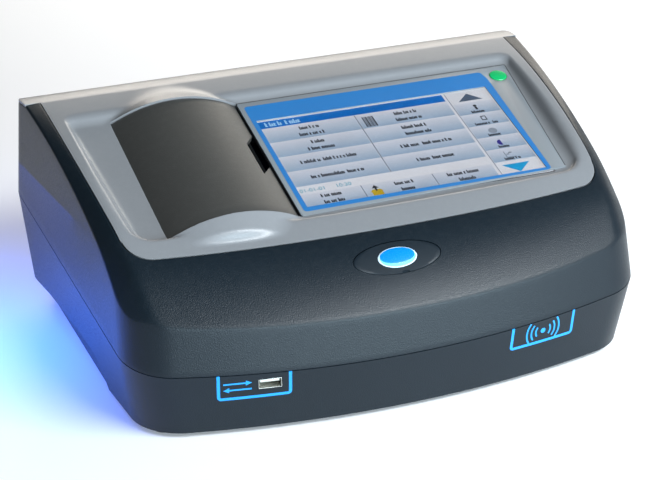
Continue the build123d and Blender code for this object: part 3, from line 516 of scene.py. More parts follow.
def front_spots():
    """Places round the case from the right end of the crest to the left one."""
    spots = places_on(0, CREST_SHARE, 1, SIDE_STEPS)
    spots += places_on(1, 0, 1, CORNER_STEPS) + places_on(2, 0, 1, FRONT_STEPS)
    spots += places_on(3, 0, 1, CORNER_STEPS)
    return spots + places_on(4, 0, 1 - CREST_SHARE, SIDE_STEPS) + [(4, 1 - CREST_SHARE)]


def rear_spots():
    """Places round the case from the left end of the crest, round the rear, to the right one."""
    spots = places_on(4, 1 - CREST_SHARE, 1, STRIP_SIDE) + places_on(5, 0, 1, STRIP_CORNER)
    spots += places_on(6, 0, 1, STRIP_LINE) + places_on(7, 0, 1, STRIP_CORNER)
    return spots + places_on(0, 0, CREST_SHARE, STRIP_SIDE) + [(0, CREST_SHARE)]


def bezel_curves(grow=0.0):
    """The bezel's outline in front of the crest: side, corner, front, corner, side."""
    corner_y = BEZEL_CORNER_Y - grow
    front_half, rear_half = BEZEL_FRONT_HALF + grow, BEZEL_REAR_HALF + grow
    curves = fillet_loop(front_half, corner_y, corner_y - BEZEL_BOW, rear_half, CREST_Y, BEZEL_CORNER + grow)
    flat_side = curves[0]

    def side(s):
        x, y = flat_side(s)
        share = (CREST_Y - y) / (CREST_Y - corner_y)
        return (x + bulge(share), y)

    def other_side(s):
        x, y = side(1 - s)
        return (-x, y)

    return [side, curves[1], curves[2], curves[3], other_side]


def rounded(before, corner, after, steps):
    """Points on a smooth bend from before to after that aims at the corner."""
    points = []
    for i in range(steps + 1):
        t = i / steps
        points.append(before * (1 - t) ** 2 + corner * 2 * t * (1 - t) + after * t**2)
    return points


def toward(start, end, reach):
    """A point on the way from start to end, reach away but never past 45 percent of it."""
    way = end - start
    size = way.length
    return start + way * min(reach / size, 0.45) if size > 1e-6 else start.copy()


def upper_section(spot, lip_xy, sizes):
    """The upper shell's cut outline at one place: outer wall, top, edge, underside, inner wall.

    lip_xy is the edge of the bezel's opening there, or None behind the crest."""
    edge, crease = sizes.edge_round / MM, sizes.crease_round / MM
    seam = Vector((0, 0, SEAM))
    foot, inner_foot = wall_point(spot, 0.0) + seam, wall_point(spot, 0.0, SHELL_WALL) + seam
    if lip_xy:
        top, under = front_top, lambda x, y: front_top(x, y) - SHELL_WALL
    else:
        top, under = lambda x, y: strip_top(y) - STRIP_EDGE - SEAM, lambda x, y: strip_top(y) - UNDER_STRIP
    crease_point = wall_point(spot, rise_to(spot, top))
    points = rounded(toward(foot, inner_foot, edge), foot, toward(foot, crease_point, edge), 3)
    wall_start, wall_end = points[-1], toward(crease_point, foot, crease)
    points += [wall_start.lerp(wall_end, i / WALL_ROWS) for i in range(1, WALL_ROWS)]
    if lip_xy:
        lip = Vector((*lip_xy, front_top(*lip_xy)))
        inward = Vector((lip.x - crease_point.x, lip.y - crease_point.y, 0))

        def on_top(share):
            x, y = crease_point.x + inward.x * share, crease_point.y + inward.y * share
            return Vector((x, y, front_top(x, y)))

        step, last = min(crease / inward.length, 0.3), max(0.9, 1 - edge / inward.length)
        points += rounded(wall_end, crease_point, on_top(step), 5)
        points += [on_top(step + (last - step) * i / BROW_ROWS) for i in range(1, BROW_ROWS + 1)]
        points += rounded(points[-1], lip, lip - Vector((0, 0, edge)), 3)[1:]
        points.append(lip - Vector((0, 0, SHELL_WALL)))
    else:
        inner = wall_point(spot, rise_to(spot, top), SHELL_WALL)
        inner.z = crease_point.z
        after = toward(crease_point, inner, edge)
        points += rounded(wall_end, crease_point, after, 5)
        points += [after.lerp(inner, i / (BROW_ROWS + 4)) for i in range(1, BROW_ROWS + 5)]
    inner_crease = wall_point(spot, rise_to(spot, under, SHELL_WALL), SHELL_WALL)
    start = points[-1]
    for i in range(1, UNDER_ROWS + 1):
        point = start.lerp(inner_crease, i / UNDER_ROWS)
        points.append(Vector((point.x, point.y, under(point.x, point.y))) if lip_xy else point)
    points += [inner_crease.lerp(inner_foot, i / 3) for i in range(1, 4)]
    return points + [points[0]]


def build_upper_housing(sizes, material):
    """The upper shell: walls, creases, brow, shoulders and the opening for the bezel."""
    counts = [SIDE_STEPS, CORNER_STEPS, FRONT_STEPS, CORNER_STEPS, SIDE_STEPS]
    opening = bezel_curves(REVEAL)
    edge = [opening[k](i / n) for k, n in enumerate(counts) for i in range(n)] + [opening[4](1)]
    sections = [upper_section(spot, lip_xy, sizes) for spot, lip_xy in zip(front_spots(), edge)]
    sections += [upper_section(spot, None, sizes) for spot in rear_spots()]
    sections.append(sections[0])
    obj = bent_grid("upper_shell", len(sections) - 1, len(sections[0]) - 1, lambda i, j: sections[i][j])
    clean(obj)
    half = [size + REVEAL for size in BADGE_HALF]
    cut(obj, oval_prism("badge_cutter", brow_frame(BADGE_X, BADGE_Y), *half, -BADGE_DEPTH, BADGE_CLEAR))
    smooth(obj, 32)
    return finish_piece(obj, material, "case", ["upper_housing"])


# Badge

BADGE_X, BADGE_Y, BADGE_DEPTH, BADGE_CLEAR = 1.5, -99.3, 2.4, 8.0
BADGE_HALF, EMBLEM_HALF = (27.0, 10.6), (12.2, 6.9)
RIM_SHARE, PRY_NOTCH = 0.93, (0.0026, 0.0013, 0.0022)


def brow_frame(x, y):
    """A frame on the brow: origin, right, up the slope, and out."""
    rise_x = front_top(x + 1, y) / 2 - front_top(x - 1, y) / 2
    rise_y = front_top(x, y + 1) / 2 - front_top(x, y - 1) / 2
    out = Vector((-rise_x, -rise_y, 1)).normalized()
    right = Vector((1, 0, rise_x)).normalized()
    return Vector((x, y, front_top(x, y))), right, out.cross(right), out


def on_brow(place, u, w, lift):
    """A point over the brow, lifted straight out of the true curved surface."""
    origin, right, up, out = place
    point = origin + right * u + up * w
    for _ in range(4):
        point = point - out * ((point.z - front_top(point.x, point.y)) / out.z)
    return point + out * lift


def oval_prism(name, place, half_width, half_height, low, high, steps=72):
    """A closed oval block through the brow."""
    rim = [(half_width * u, half_height * w) for u, w in round_spot(0, 0, 1, steps)]
    return prisms(name, [[[on_brow(place, u, w, lift) for u, w in rim] for lift in (low, high)]])


def oval_plate(name, place, half, hole, low, high, crown_lift=0.0, drop=0.35, steps=96):
    """A curved oval plate that follows the brow, with an optional oval hole and a rounded rim.

    half and hole are half sizes, and drop is how far the rim bends down."""
    inner = hole or (0.0, 0.0)
    rows = []
    for share in (0.0, 0.25, 0.5, 0.75, RIM_SHARE, 0.985, 1.0):
        bend = drop * max(0.0, (share - RIM_SHARE) / (1 - RIM_SHARE)) ** 2
        size = [start + (end - start) * share for start, end in zip(inner, half)]
        rows.append((*size, high + crown_lift * (1 - share**2) - bend))
    rows += [(*half, low), (*inner, low)]
    if hole:
        rows.append(rows[0])

    def place_vertex(i, j):
        a, b, lift = rows[j]
        turn = 2 * math.pi * i / steps
        return on_brow(place, a * math.cos(turn), b * math.sin(turn), lift)

    return clean(bent_grid(name, steps, len(rows) - 1, place_vertex))


def build_badge(mats):
    """The oval cover plate in the brow and the bare oval set in it."""
    place = origin, right, up, out = brow_frame(BADGE_X, BADGE_Y)

    def inset(by_width, by_height):
        return (EMBLEM_HALF[0] - by_width, EMBLEM_HALF[1] - by_height)

    plate = oval_plate("badge_cover", place, BADGE_HALF, inset(-0.1, -0.1), -2.2, 0.0)
    bpy.ops.mesh.primitive_uv_sphere_add(segments=24, ring_count=12, radius=1,
                                         location=on_brow(place, 2.0, -BADGE_HALF[1], 0) * MM)
    notch = bpy.context.object
    notch.scale = PRY_NOTCH
    activate(notch)
    bpy.ops.object.transform_apply(location=True, rotation=True, scale=True)
    smooth(cut(plate, notch), 32)
    finish_piece(plate, mats["badge_dark"], "case", ["badge_plate"])
    emblem = smooth(oval_plate("badge_oval", place, inset(0.15, 0.15), None, -1.1, 0.15, 0.35), 32)
    finish_piece(emblem, mats["badge_white"], "case", ["badge_emblem"])
    for name, shift, half, lift, finish_name in (
            ("badge_band", -0.25, inset(1.1, 0.75), 0.25, "badge_pale"),
            ("badge_field", 0.75, inset(1.5, 1.7), 0.5, "badge_blue")):
        layer = oval_plate(name, (origin + up * shift, right, up, out), half, None, 0.1, lift, 0.33, 0.03)
        finish_piece(smooth(layer, 32), mats[finish_name], "case")


# Bezel


def recess_curves(grow, rear_grow):
    """The recess outline on the floor's slope."""
    front, rear = RECESS_FRONT - grow, RECESS_REAR + rear_grow
    return fillet_loop(RECESS_FRONT_HALF + grow, front + RECESS_BOW, front, RECESS_REAR_HALF + grow, rear,
                       RECESS_CORNER + grow, max(RECESS_REAR_CORNER + grow, 0.8))


def arch_height(x, v):
    """Height over the floor of the arches round the lid's two ends."""
    front_end, rear_end = LID_FRONT - LID_GAP, LID_REAR + LID_GAP
    past = front_end - v if v < 0 else v - rear_end
    if past < -ARCH_REACH:
        return NO_ARCH
    fall = ARCH_FALL * max(0.0, past) / ARCH_LENGTH
    radius = ARCH_RADIUS - fall
    side = radius**2 - (x - LID_X) ** 2
    return math.sqrt(side) + LID_AXIS_H if side > 0 else NO_ARCH


def soft_max(a, b, reach):
    """The larger of two, with a soft bend where they are close."""
    return max(a, b) + max(reach - abs(a - b), 0.0) ** 2 / (4 * reach)


def raise_arch(point, fade=1.0):
    """Lifts a point on the bezel onto the arches round the lid."""
    x, v, h = from_floor(point)
    high = arch_height(x, v)
    if high < h - 4 or fade <= 0:
        return point
    return Vector(to_floor(x, v, h + (soft_max(h, high, ARCH_BLEND) - h) * fade))


def smooth_step(value, low, high):
    """A soft step from 0 at low to 1 at high."""
    t = min(max((value - low) / (high - low), 0.0), 1.0)
    return t * t * (3 - 2 * t)


RIM_ROWS = 14
STRIP_SHARES = (0.0, 0.12, 0.25, 0.4, 0.52, 0.62, 0.7, 0.77, 0.83, 0.88, 0.92, 0.955)


def bezel_section(outer, floor_xv, flare_xv, cap_xv, at_crest, sizes):
    """The bezel's top from its outer edge over the rim and down to the sunken floor."""
    rim = sizes.rim_round / MM
    bottom = Vector(to_floor(*floor_xv, 0))
    top = Vector(to_floor(*flare_xv, FLARE_HEIGHT))

    def below(share):
        point = bottom.lerp(top, share)
        return point.z < front_top(point.x, min(point.y, CREST_Y))

    lip = bottom.lerp(top, bisect(below, 1.4))
    start = Vector((*outer, CREST_Z if at_crest else front_top(*outer)))
    run = Vector((lip.x - start.x, lip.y - start.y, 0))
    slope = (bottom - lip).length
    reach = min(rim, 0.46 * slope)
    rim_end = max(0.0, 1 - reach * 1.25 / run.length)
    points = [start]
    for i in range(1, RIM_ROWS + 1):
        share = rim_end * i / RIM_ROWS
        x, y = start.x + run.x * share, start.y + run.y * share
        points.append(Vector((x, y, front_top(x, y))))
    points += rounded(points[-1], lip, lip.lerp(bottom, reach / slope), 6)[1:]
    foot_reach = min(rim * 1.2, 0.5 * slope)
    foot_start = bottom.lerp(lip, foot_reach / slope)
    cap = Vector(to_floor(*cap_xv, 0))
    points += [points[-1].lerp(foot_start, i / 4) for i in range(1, 4)]
    foot_end = bottom + (cap - bottom).normalized() * foot_reach
    points += rounded(foot_start, bottom, foot_end, 5)
    lifted = []
    for point in points:
        away = math.hypot(point.x - start.x, point.y - start.y)
        fade = 1.0 if at_crest else smooth_step(away, ARCH_EDGE_NEAR, ARCH_EDGE_FAR)
        lifted.append(raise_arch(point, fade))
    return lifted + [cap]


def build_bezel(sizes, material):
    """The light cover: rim, sunken floor, arches round the lid's ends and the rear strip."""
    outline = bezel_curves()
    floor_loop, flare_loop = recess_curves(0, 0), recess_curves(RECESS_FLARE, RECESS_REAR_FLARE)
    cap_loop = recess_curves(-RECESS_CAP, -RECESS_CAP)
    side, corner, front, crest_corner, crest = 44, 18, 150, 10, 130
    counts = [side, corner, front, corner, side, crest_corner, crest, crest_corner]
    bend_x = RECESS_REAR_HALF - RECESS_REAR_CORNER
    bend_step = (BEZEL_REAR_HALF - bend_x) / crest_corner
    strip_xs = [-BEZEL_REAR_HALF + bend_step * i for i in range(crest_corner)]
    strip_xs += [-bend_x + 2 * bend_x * i / crest for i in range(crest)]
    strip_xs += [bend_x + bend_step * i for i in range(crest_corner + 1)]
    sections = []
    for k, count in enumerate(counts):
        for i in range(count):
            at_crest = k >= 5
            if at_crest:
                outer = (strip_xs[len(sections) - sum(counts[:5])], CREST_Y)
            else:
                outer = outline[k](i / count)
            inside = [loop[k](i / count) for loop in (floor_loop, flare_loop, cap_loop)]
            sections.append(bezel_section(outer, *inside, at_crest, sizes))
    sections.append(sections[0])
    ring = bent_grid("bezel_ring", len(sections) - 1, len(sections[0]) - 1, lambda i, j: sections[i][j])
    ring_cap = [section[-1] for section in sections[:-1]]
    cap = mesh_piece("bezel_floor", ring_cap, [list(range(len(ring_cap)))[::-1]])

    lead = 6
    path = rear_spots()
    tops = [wall_point(spot, rise_to(spot, lambda x, y: strip_top(y))) for spot in path]
    end_xs = [tops[0].x + 0.05 + (-BEZEL_REAR_HALF - tops[0].x) * i / lead for i in range(lead)]
    fronts = end_xs + strip_xs + [-x for x in end_xs[::-1]]
    reach = len(fronts) - 1
    def strip_section(i):
        where = i / reach * (len(path) - 1)
        k = min(int(where), len(path) - 2)
        rim_top = tops[k].lerp(tops[k + 1], where - k)
        start = Vector((fronts[i], CREST_Y, CREST_Z))
        spine = [start.lerp(rim_top, share) for share in STRIP_SHARES]
        points = [Vector((point.x, point.y, strip_top(point.y))) for point in spine] + [rim_top]
        low = [wall_point(s, rise_to(s, lambda x, y: strip_top(y) - STRIP_EDGE)) for s in path[k : k + 2]]
        points.append(low[0].lerp(low[1], where - k))
        return points

    strips = [strip_section(i) for i in range(reach + 1)]
    strip = bent_grid("bezel_strip", reach, len(strips[0]) - 1, lambda i, j: strips[i][j])
    obj = join("top_cover", ring, cap, strip)
    clean(obj, 0.00004)
    face_up(obj)
    half_opening = math.sqrt((ARCH_RADIUS + SEAM) ** 2 - LID_AXIS_H**2)
    open_sheet(obj, LID_X - half_opening, LID_X + half_opening, LID_FRONT - LID_GAP, LID_REAR + LID_GAP)
    x0, x1, v0, v1 = SCREEN
    open_sheet(obj, x0 - 2.4, x1 + 4.3, v0 - 4.3, v1 + 4.3)
    modify(obj, "SOLIDIFY", thickness=BEZEL_WALL * MM, offset=-1.0, use_rim=True, use_even_offset=False)
    round_edges(obj, sizes.edge_round, 3, 48)
    smooth(obj, 28)
    return finish_piece(obj, material, "case", ["top_bezel"])


def open_sheet(obj, x0, x1, v0, v1):
    """Bisects an open sheet along a rectangle on the sunken floor and deletes what is inside."""
    activate(obj)
    bpy.ops.object.mode_set(mode="EDIT")
    bpy.ops.mesh.select_mode(type="FACE")

    def select(inside):
        sheet = bmesh.from_edit_mesh(obj.data)
        for face in sheet.faces:
            places = [from_floor(vert.co / MM) for vert in face.verts]
            xs, vs = [p[0] for p in places], [p[1] for p in places]
            if inside:
                x, v = sum(xs) / len(xs), sum(vs) / len(vs)
                face.select_set(x0 < x < x1 and v0 < v < v1)
            else:
                near_x = max(xs) > x0 - 1 and min(xs) < x1 + 1
                face.select_set(near_x and max(vs) > v0 - 1 and min(vs) < v1 + 1)
        bmesh.update_edit_mesh(obj.data)

    along = Vector((0, math.cos(FLOOR_TILT), math.sin(FLOOR_TILT)))
    for place, normal in ((x0, Vector((1, 0, 0))), (x1, Vector((1, 0, 0))), (v0, along), (v1, along)):
        point = Vector(to_floor(place, 0, 0)) if normal.x else Vector(to_floor(0, place, 0))
        select(False)
        bpy.ops.mesh.bisect(plane_co=point * MM, plane_no=normal)
    select(True)
    bpy.ops.mesh.delete(type="FACE")
    bpy.ops.object.mode_set(mode="OBJECT")


def face_up(obj):
    """Turns an open sheet's faces so that most look up."""
    if sum(face.normal.z * face.area for face in obj.data.polygons) < 0:
        obj.data.flip_normals()


def floor_block(name, x0, x1, v0, v1, h0, h1):
    """A block along the sunken floor."""
    activate_none()
    bpy.ops.mesh.primitive_cube_add(size=1)
    obj = bpy.context.object
    obj.name = obj.data.name = name
    size = Matrix.Diagonal(((x1 - x0) * MM, (v1 - v0) * MM, (h1 - h0) * MM, 1))
    shift = Matrix.Translation(((x0 + x1) / 2 * MM, (v0 + v1) / 2 * MM, (h0 + h1) / 2 * MM))
    obj.data.transform(FLOOR_MATRIX @ shift @ size)
    return obj


# Lid


# Outline of the finger notch: distance from the lid's right edge, and place along it
NOTCH = ((-8, 12.0), (4, 30.0), (4, -3.5), (-8, -21.5))
NOTCH_ROUND, NOTCH_REACH = 2.2, 20


def build_lid(sizes, material):
    """The curved lid, with its finger notch in the right edge."""
    turns, steps = 60, 16

    def place(i, j):
        angle = math.radians(-LID_LEFT + (LID_LEFT + LID_RIGHT) * i / turns)
        v = LID_FRONT + (LID_REAR - LID_FRONT) * j / steps
        return to_floor(LID_X + LID_RADIUS * math.sin(angle), v, LID_AXIS_H + LID_RADIUS * math.cos(angle))

    obj = bent_grid("lid_shell", turns, steps, place)
    face_up(obj)
    modify(obj, "SOLIDIFY", thickness=LID_WALL * MM, offset=-1.0, use_rim=True)
    round_edges(obj, sizes.lid_edge, 3, 50)
    edge_x = LID_X + LID_RADIUS * math.sin(math.radians(LID_RIGHT))
    rim = []
    for k, corner in enumerate(NOTCH):
        here, before, after = (Vector(p) for p in (corner, NOTCH[k - 1], NOTCH[(k + 1) % len(NOTCH)]))
        if corner[0] < 0:
            rim += rounded(toward(here, before, NOTCH_ROUND), here, toward(here, after, NOTCH_ROUND), 5)
        else:
            rim.append(here)
    rings = [[to_floor(edge_x + p.x, p.y, h) for p in rim] for h in (-NOTCH_REACH, NOTCH_REACH)]
    cut(obj, clean(prisms("notch_cutter", [rings])))
    smooth(obj, 32)
    return finish_piece(obj, material, "lid", ["sample_lid"])


# Screen


FACE_UV = "face"


def flat_layer(name, shapes, low, high, with_uv=False):
    """Thin closed slabs on the floor's slope, one for each outline of (x, v) points."""
    obj = prisms(name, [[[to_floor(x, v, h) for x, v in shape] for h in (low, high)] for shape in shapes])
    if with_uv:
        uvs = []
        for shape in shapes:
            (x0, x1), (v0, v1) = ((min(places), max(places)) for places in zip(*shape))
            uvs += [((x - x0) / (x1 - x0), (v - v0) / (v1 - v0)) for x, v in shape] * 2
        layer = obj.data.uv_layers.new(name=FACE_UV)
        for loop in obj.data.loops:
            layer.data[loop.index].uv = uvs[loop.vertex_index]
    return turn_outward(obj)


def rect(x0, x1, v0, v1):
    """A rectangle's corners."""
    return [(x0, v0), (x1, v0), (x1, v1), (x0, v1)]


def blurred_words(centre_x, centre_v, counts, rng, size=3.3):
    """Blocks that stand for a line of print: one run of small uneven marks for each word."""
    marks, pitch, gap = [], size * 0.66, size * 0.5
    stem, body, foot = pitch * 0.36, pitch * 0.9, centre_v - size * 0.42
    shoulder, low_bar, high_bar = foot + size * 0.66, foot + size * 0.2, foot + size * 0.46
    x = centre_x - (sum(counts) * pitch + (len(counts) - 1) * gap) / 2
    for count in counts:
        for k in range(count):
            tall = size if k == 0 or rng.random() < 0.25 else size * 0.72
            kind = rng.randrange(3)
            marks.append(rect(x, x + stem, foot, foot + tall))
            if kind < 2:
                marks.append(rect(x + body - stem, x + body, foot, shoulder))
            if kind != 1:
                marks.append(rect(x + stem, x + body - stem * kind / 2, high_bar, shoulder))
            marks.append(rect(x + stem, x + body - stem, foot, low_bar))
            x += pitch
        x += gap
    return marks


ROW_TOP, ROW_HEIGHT, DIVIDER_X, MENU_RIGHT = 29.6, 15.8, 27.6, 92.6
ITEM_EDGES = [24.6, 11.6, -1.8, -14.8, -28.2, -41.4]
FOOT_TOP, FOOT_SPLITS = -41.4, (4.3, 51.0)
LINE_HALF, BUTTON_GAP, MENU_MARGIN = 0.25, 0.5, 1.6

# How many letters each word of a label has: upper line, then lower line or None
MENU_LABELS = [([6], [8], [7], [8]), ([4], [8], [8], [8]), ([6, 10], None, [6, 9], None),
               ([10, 5], None, [4, 7], None)]
MENU_MIDDLES = (-4.4, 60.6)
FOOT_LABELS = ((-16.0, [6], [6]), (31.5, [6], [4]), (70.6, [10], [5]))
ITEM_LABELS, ITEM_X = ([5], [6, 2], [5], [4], [6]), 107.0

# Small pictures on the screen, as places x0, x1, v0, v1 or as corners
BARS_X, BAR_SPAN, BAR_STEPS = 31.2, (15.6, 26.4), (1.0, 0.5, 1.3, 0.5, 0.9, 0.5, 1.2)
TRAY = [(8.6, 15.4, -53.2, -48.4)], [[(7.8, -49.6), (9.4, -47.6), (14.6, -47.6), (16.2, -49.6)]]
TRAY_ARROW = [(11.4, 12.6, -49.0, -45.8)], [[(9.8, -46.2), (14.2, -46.2), (12.0, -43.4)]]
ARROW_UP = [(99.0, 27.0), (115.6, 27.0), (107.3, 34.8)]
ARROW_DOWN = [(96.8, -44.6), (105.8, -53.2), (115.2, -44.6)]
ITEM_MARKS = [(106.4, 108.0, 16.4, 19.2), (105.4, 109.0, 4.0, 4.7), (105.4, 106.0, 4.0, 8.6),
              (108.4, 109.0, 4.0, 8.6), (105.4, 109.0, 7.9, 8.6), (103.6, 103.9, -37.6, -31.4),
              (103.6, 110.0, -37.9, -37.6), (104.6, 106.4, -34.6, -34.1), (106.4, 108.6, -33.2, -32.7)]
DOT, DIAL_V, HALF_V, DIAL_RADIUS = (107.2, 20.6, 1.2), -8.2, -21.4, 2.9


def build_foil(mats, ink):
    """The foil round the screen, a dark line painted along its rear and right edges as the shadow in the gap
    there, and the printed blue frame.
    """
    x0, x1, v0, v1 = SCREEN
    overlay = refined("screen_foil", "display_overlay", 0.00022, 2)
    finish_piece(overlay, mats["foil"], "case", ["display_overlay"])
    rear, front, left = 58.3, -56.4, -40.6
    # Painted shadow: a dark strip along the foil's rear and right edges stands for the shade in the gap
    # between the foil and the recess wall
    rear_shadow_strip = [(left, rear), (FOIL_REAR_RIGHT - 0.6, rear), (FOIL_REAR_RIGHT - 0.2, rear + 0.45),
                 (left, rear + 0.45)]
    side_shadow_strip = [(FOIL_REAR_RIGHT - 0.6, rear), (FOIL_FRONT_RIGHT - 0.55, front),
                 (FOIL_FRONT_RIGHT - 0.1, front), (FOIL_REAR_RIGHT - 0.15, rear)]
    shadow_line = flat_layer("foil_edge_line", [rear_shadow_strip, side_shadow_strip], OVERLAY_TOP - 0.05, OVERLAY_TOP + ink)
    finish_piece(shadow_line, mats["foil_shadow_ink"], "case")
    corners = [(-38.2, v0 - 4.0), (124.6, v0 - 2.2), (127.3, 45.4), (125.4, 53.9), (-38.0, 53.9)]
    outer = bend_corners(corners, (2.6, 3.0, 3.4, 2.4, 2.6))
    band = flat_layer("blue_frame", [outer], OVERLAY_TOP, OVERLAY_TOP + ink)
    cut(band, floor_block("blue_frame_hole", x0 + 0.02, x1 - 0.02, v0 + 0.02, v1 - 0.02,
                          OVERLAY_TOP - 1, OVERLAY_TOP + ink + 1))
    finish_piece(band, mats["frame_blue"], "case")


def menu_shapes():
    """Buttons and dividing lines of the menu on the screen."""
    x0, x1, v0, v1 = SCREEN
    right = MENU_RIGHT - MENU_MARGIN
    buttons = []
    for row in range(len(MENU_LABELS)):
        top = ROW_TOP - row * ROW_HEIGHT
        foot = top - ROW_HEIGHT + 0.55
        buttons.append(rect(x0, DIVIDER_X - BUTTON_GAP, foot, top))
        buttons.append(rect(DIVIDER_X + BUTTON_GAP, right, foot, top))
    edges = [x0, *FOOT_SPLITS, right]
    buttons += [rect(a + 0.35, b - 0.35, v0, FOOT_TOP) for a, b in zip(edges, edges[1:])]
    items = zip(ITEM_EDGES, ITEM_EDGES[1:])
    buttons += [rect(MENU_RIGHT + 0.9, x1, low + BUTTON_GAP, high) for high, low in items]
    lines = [rect(DIVIDER_X - 0.3, DIVIDER_X + 0.3, ROW_TOP - 4 * ROW_HEIGHT + 0.5, ROW_TOP)]
    lines += [rect(x - LINE_HALF, x + LINE_HALF, v0, FOOT_TOP) for x in FOOT_SPLITS]
    lines.append(rect(MENU_RIGHT + 0.1, MENU_RIGHT + 0.5, v0, v1))
    return buttons, lines


def label(x, v, top, foot, rng, rise, fall):
    """A label of one line, or of two lines round its middle."""
    if not foot:
        return blurred_words(x, v, top, rng)
    return blurred_words(x, v + rise, top, rng) + blurred_words(x, v - fall, foot, rng)


def menu_words(rng):
    """All labels of the menu, its foot and its items."""
    words = []
    for row, lines in enumerate(MENU_LABELS):
        middle = ROW_TOP - (row + 0.5) * ROW_HEIGHT
        for x, top, foot in zip(MENU_MIDDLES, lines[::2], lines[1::2]):
            words += label(x, middle, top, foot, rng, 3.3, 3.5)
    for x, top, foot in FOOT_LABELS:
        words += label(x, (SCREEN[2] + FOOT_TOP) / 2, top, foot, rng, 3.2, 3.2)
    for edge, counts in zip(ITEM_EDGES[1:], ITEM_LABELS):
        words += blurred_words(ITEM_X - 0.2, edge + 2.4, counts, rng, 2.7)
    return words


def build_screen(mats, sizes):
    """The foil round the screen, the printed blue frame, the glass and the picture behind it."""
    x0, x1, v0, v1 = SCREEN
    build_foil(mats, sizes.ink / MM)
    pane = (x0 - 2.0, x1 + 3.8, v0 - 3.8, v1 + 3.8)
    glass = modify(floor_block("screen_glass", *pane, -0.5, -0.02), "BEVEL", width=0.00012, segments=1)
    finish_piece(glass, mats["glass"], "case", ["touch_glass"])
    back = modify(floor_block("screen_panel", *pane, -6.0, -1.1), "BEVEL", width=0.0003, segments=2)
    finish_piece(back, mats["panel_white"], "case", ["lcd_module"])

    low, mid, high, top = -1.08, -0.98, -0.88, -0.82
    rng = random.Random(11)
    buttons, lines = menu_shapes()
    words, heading = menu_words(rng), blurred_words(-18.5, 33.4, [4, 4], rng, 4.2)
    title = [rect(x0, MENU_RIGHT - MENU_MARGIN, ROW_TOP + 0.5, v1)]
    bars, x = [], BARS_X
    for step in BAR_STEPS:
        bars.append(rect(x, x + step * 0.8, *BAR_SPAN))
        x += step + 0.3
    tray, tray_arrow = ([rect(*place) for place in places] + shapes for places, shapes in (TRAY, TRAY_ARROW))
    layers = [
        ("screen_title", title, "title_blue", low, mid),
        ("screen_buttons", buttons, "button", low, mid),
        ("screen_dividers", lines, "divider", mid, high),
        ("screen_words", words, "screen_ink", mid, high),
        ("screen_heading", heading, "screen_white", mid, high),
        ("icon_bars", bars, "screen_ink", mid, high),
        ("arrow_up", [ARROW_UP], "arrow_grey", mid, high),
        ("arrow_down", [ARROW_DOWN], "arrow_cyan", mid, high),
        ("icon_tray", tray, "icon_yellow", mid, high),
        ("icon_arrow", tray_arrow, "screen_ink", high, top),
        ("icon_marks", [round_spot(*DOT)] + [rect(*place) for place in ITEM_MARKS], "screen_ink", mid, high),
        ("icon_dial", [round_spot(ITEM_X, DIAL_V, DIAL_RADIUS, 20)], "icon_grey", mid, high),
        ("icon_half", [half_spot(ITEM_X, HALF_V, DIAL_RADIUS, 90)], "icon_violet", mid, high),
        ("icon_other_half", [half_spot(ITEM_X, HALF_V, DIAL_RADIUS, -90)], "button", mid, high),
    ]
    for name, shapes, material, foot, face in layers:
        obj = flat_layer(name, shapes, foot, face, with_uv=material == "button")
        finish_piece(obj, mats[material], "case")
    clock(mats)
    light = refined("signal_light", "status_light", 0.0005, 3)
    finish_piece(light, mats["green_light"], "case", ["status_light"])


def round_spot(x, v, radius, steps=16):
    """A round outline."""
    return [(x + radius * math.cos(2 * math.pi * i / steps), v + radius * math.sin(2 * math.pi * i / steps))
            for i in range(steps)]


def half_spot(x, v, radius, turn):
    """Half a disc."""
    return [(x + radius * math.cos(math.radians(turn + a)), v + radius * math.sin(math.radians(turn + a)))
            for a in range(0, 181, 15)]


def bend_corners(points, radii, steps=6):
    """Rounds the corners of an outline."""
    rim = []
    for k, (x, v) in enumerate(points):
        here = Vector((x, v))
        before, after = Vector(points[k - 1]), Vector(points[(k + 1) % len(points)])
        rim += rounded(toward(here, before, radii[k]), here, toward(here, after, radii[k]), steps)
    return [(p.x, p.y) for p in rim]


CLOCK = (("screen_date", "01-01-01", -33.5), ("screen_clock", "10:30", -10.5))
CLOCK_SIZE, CLOCK_HALF_DEPTH, CLOCK_V, CLOCK_H = 4.6, 0.05, -39.4, -0.92


def clock(mats):
    """A plain date and time in numbers, in the bar over the foot buttons."""
    for name, body, x in CLOCK:
        activate_none()
        bpy.ops.object.text_add(location=(0, 0, 0))
        obj = bpy.context.object
        obj.data.body = body
        obj.data.size, obj.data.extrude = CLOCK_SIZE * MM, CLOCK_HALF_DEPTH * MM
        bpy.ops.object.convert(target="MESH")
        obj = bpy.context.object
        obj.name = obj.data.name = name
        obj.data.transform(FLOOR_MATRIX @ Matrix.Translation((x * MM, CLOCK_V * MM, CLOCK_H * MM)))
        obj.matrix_world = Matrix.Identity(4)
        finish_piece(obj, mats["clock_cyan"], "case")


# Shader groups and finishes


def group(name, inputs, outputs):
    """A new shader group with named inputs and outputs."""
    tree = bpy.data.node_groups.new(name, "ShaderNodeTree")
    for label, value in inputs:
        socket = tree.interface.new_socket(label, in_out="INPUT", socket_type="NodeSocketFloat")
        socket.default_value = value
    for label in outputs:
        tree.interface.new_socket(label, in_out="OUTPUT", socket_type="NodeSocketFloat")
    return tree, tree.nodes.new("NodeGroupInput"), tree.nodes.new("NodeGroupOutput")


def node(tree, kind, inputs=(), **settings):
    """A shader node with its settings, each input set to a value or linked to a socket."""
    made = tree.nodes.new("ShaderNode" + kind)
    for key, value in settings.items():
        setattr(made, key, value)
    for where, source in inputs:
        if isinstance(source, bpy.types.NodeSocket):
            tree.links.new(source, made.inputs[where])
        else:
            made.inputs[where].default_value = source
    return made


def remap(tree, source, low, high, to_low=0.0, to_high=1.0):
    """Stretches a value from one span to another."""
    return node(tree, "MapRange", enumerate((source, low, high, to_low, to_high))).outputs[0]


def times(tree, a, b):
    """Product of two values."""
    return node(tree, "Math", [(0, a), (1, b)], operation="MULTIPLY").outputs[0]


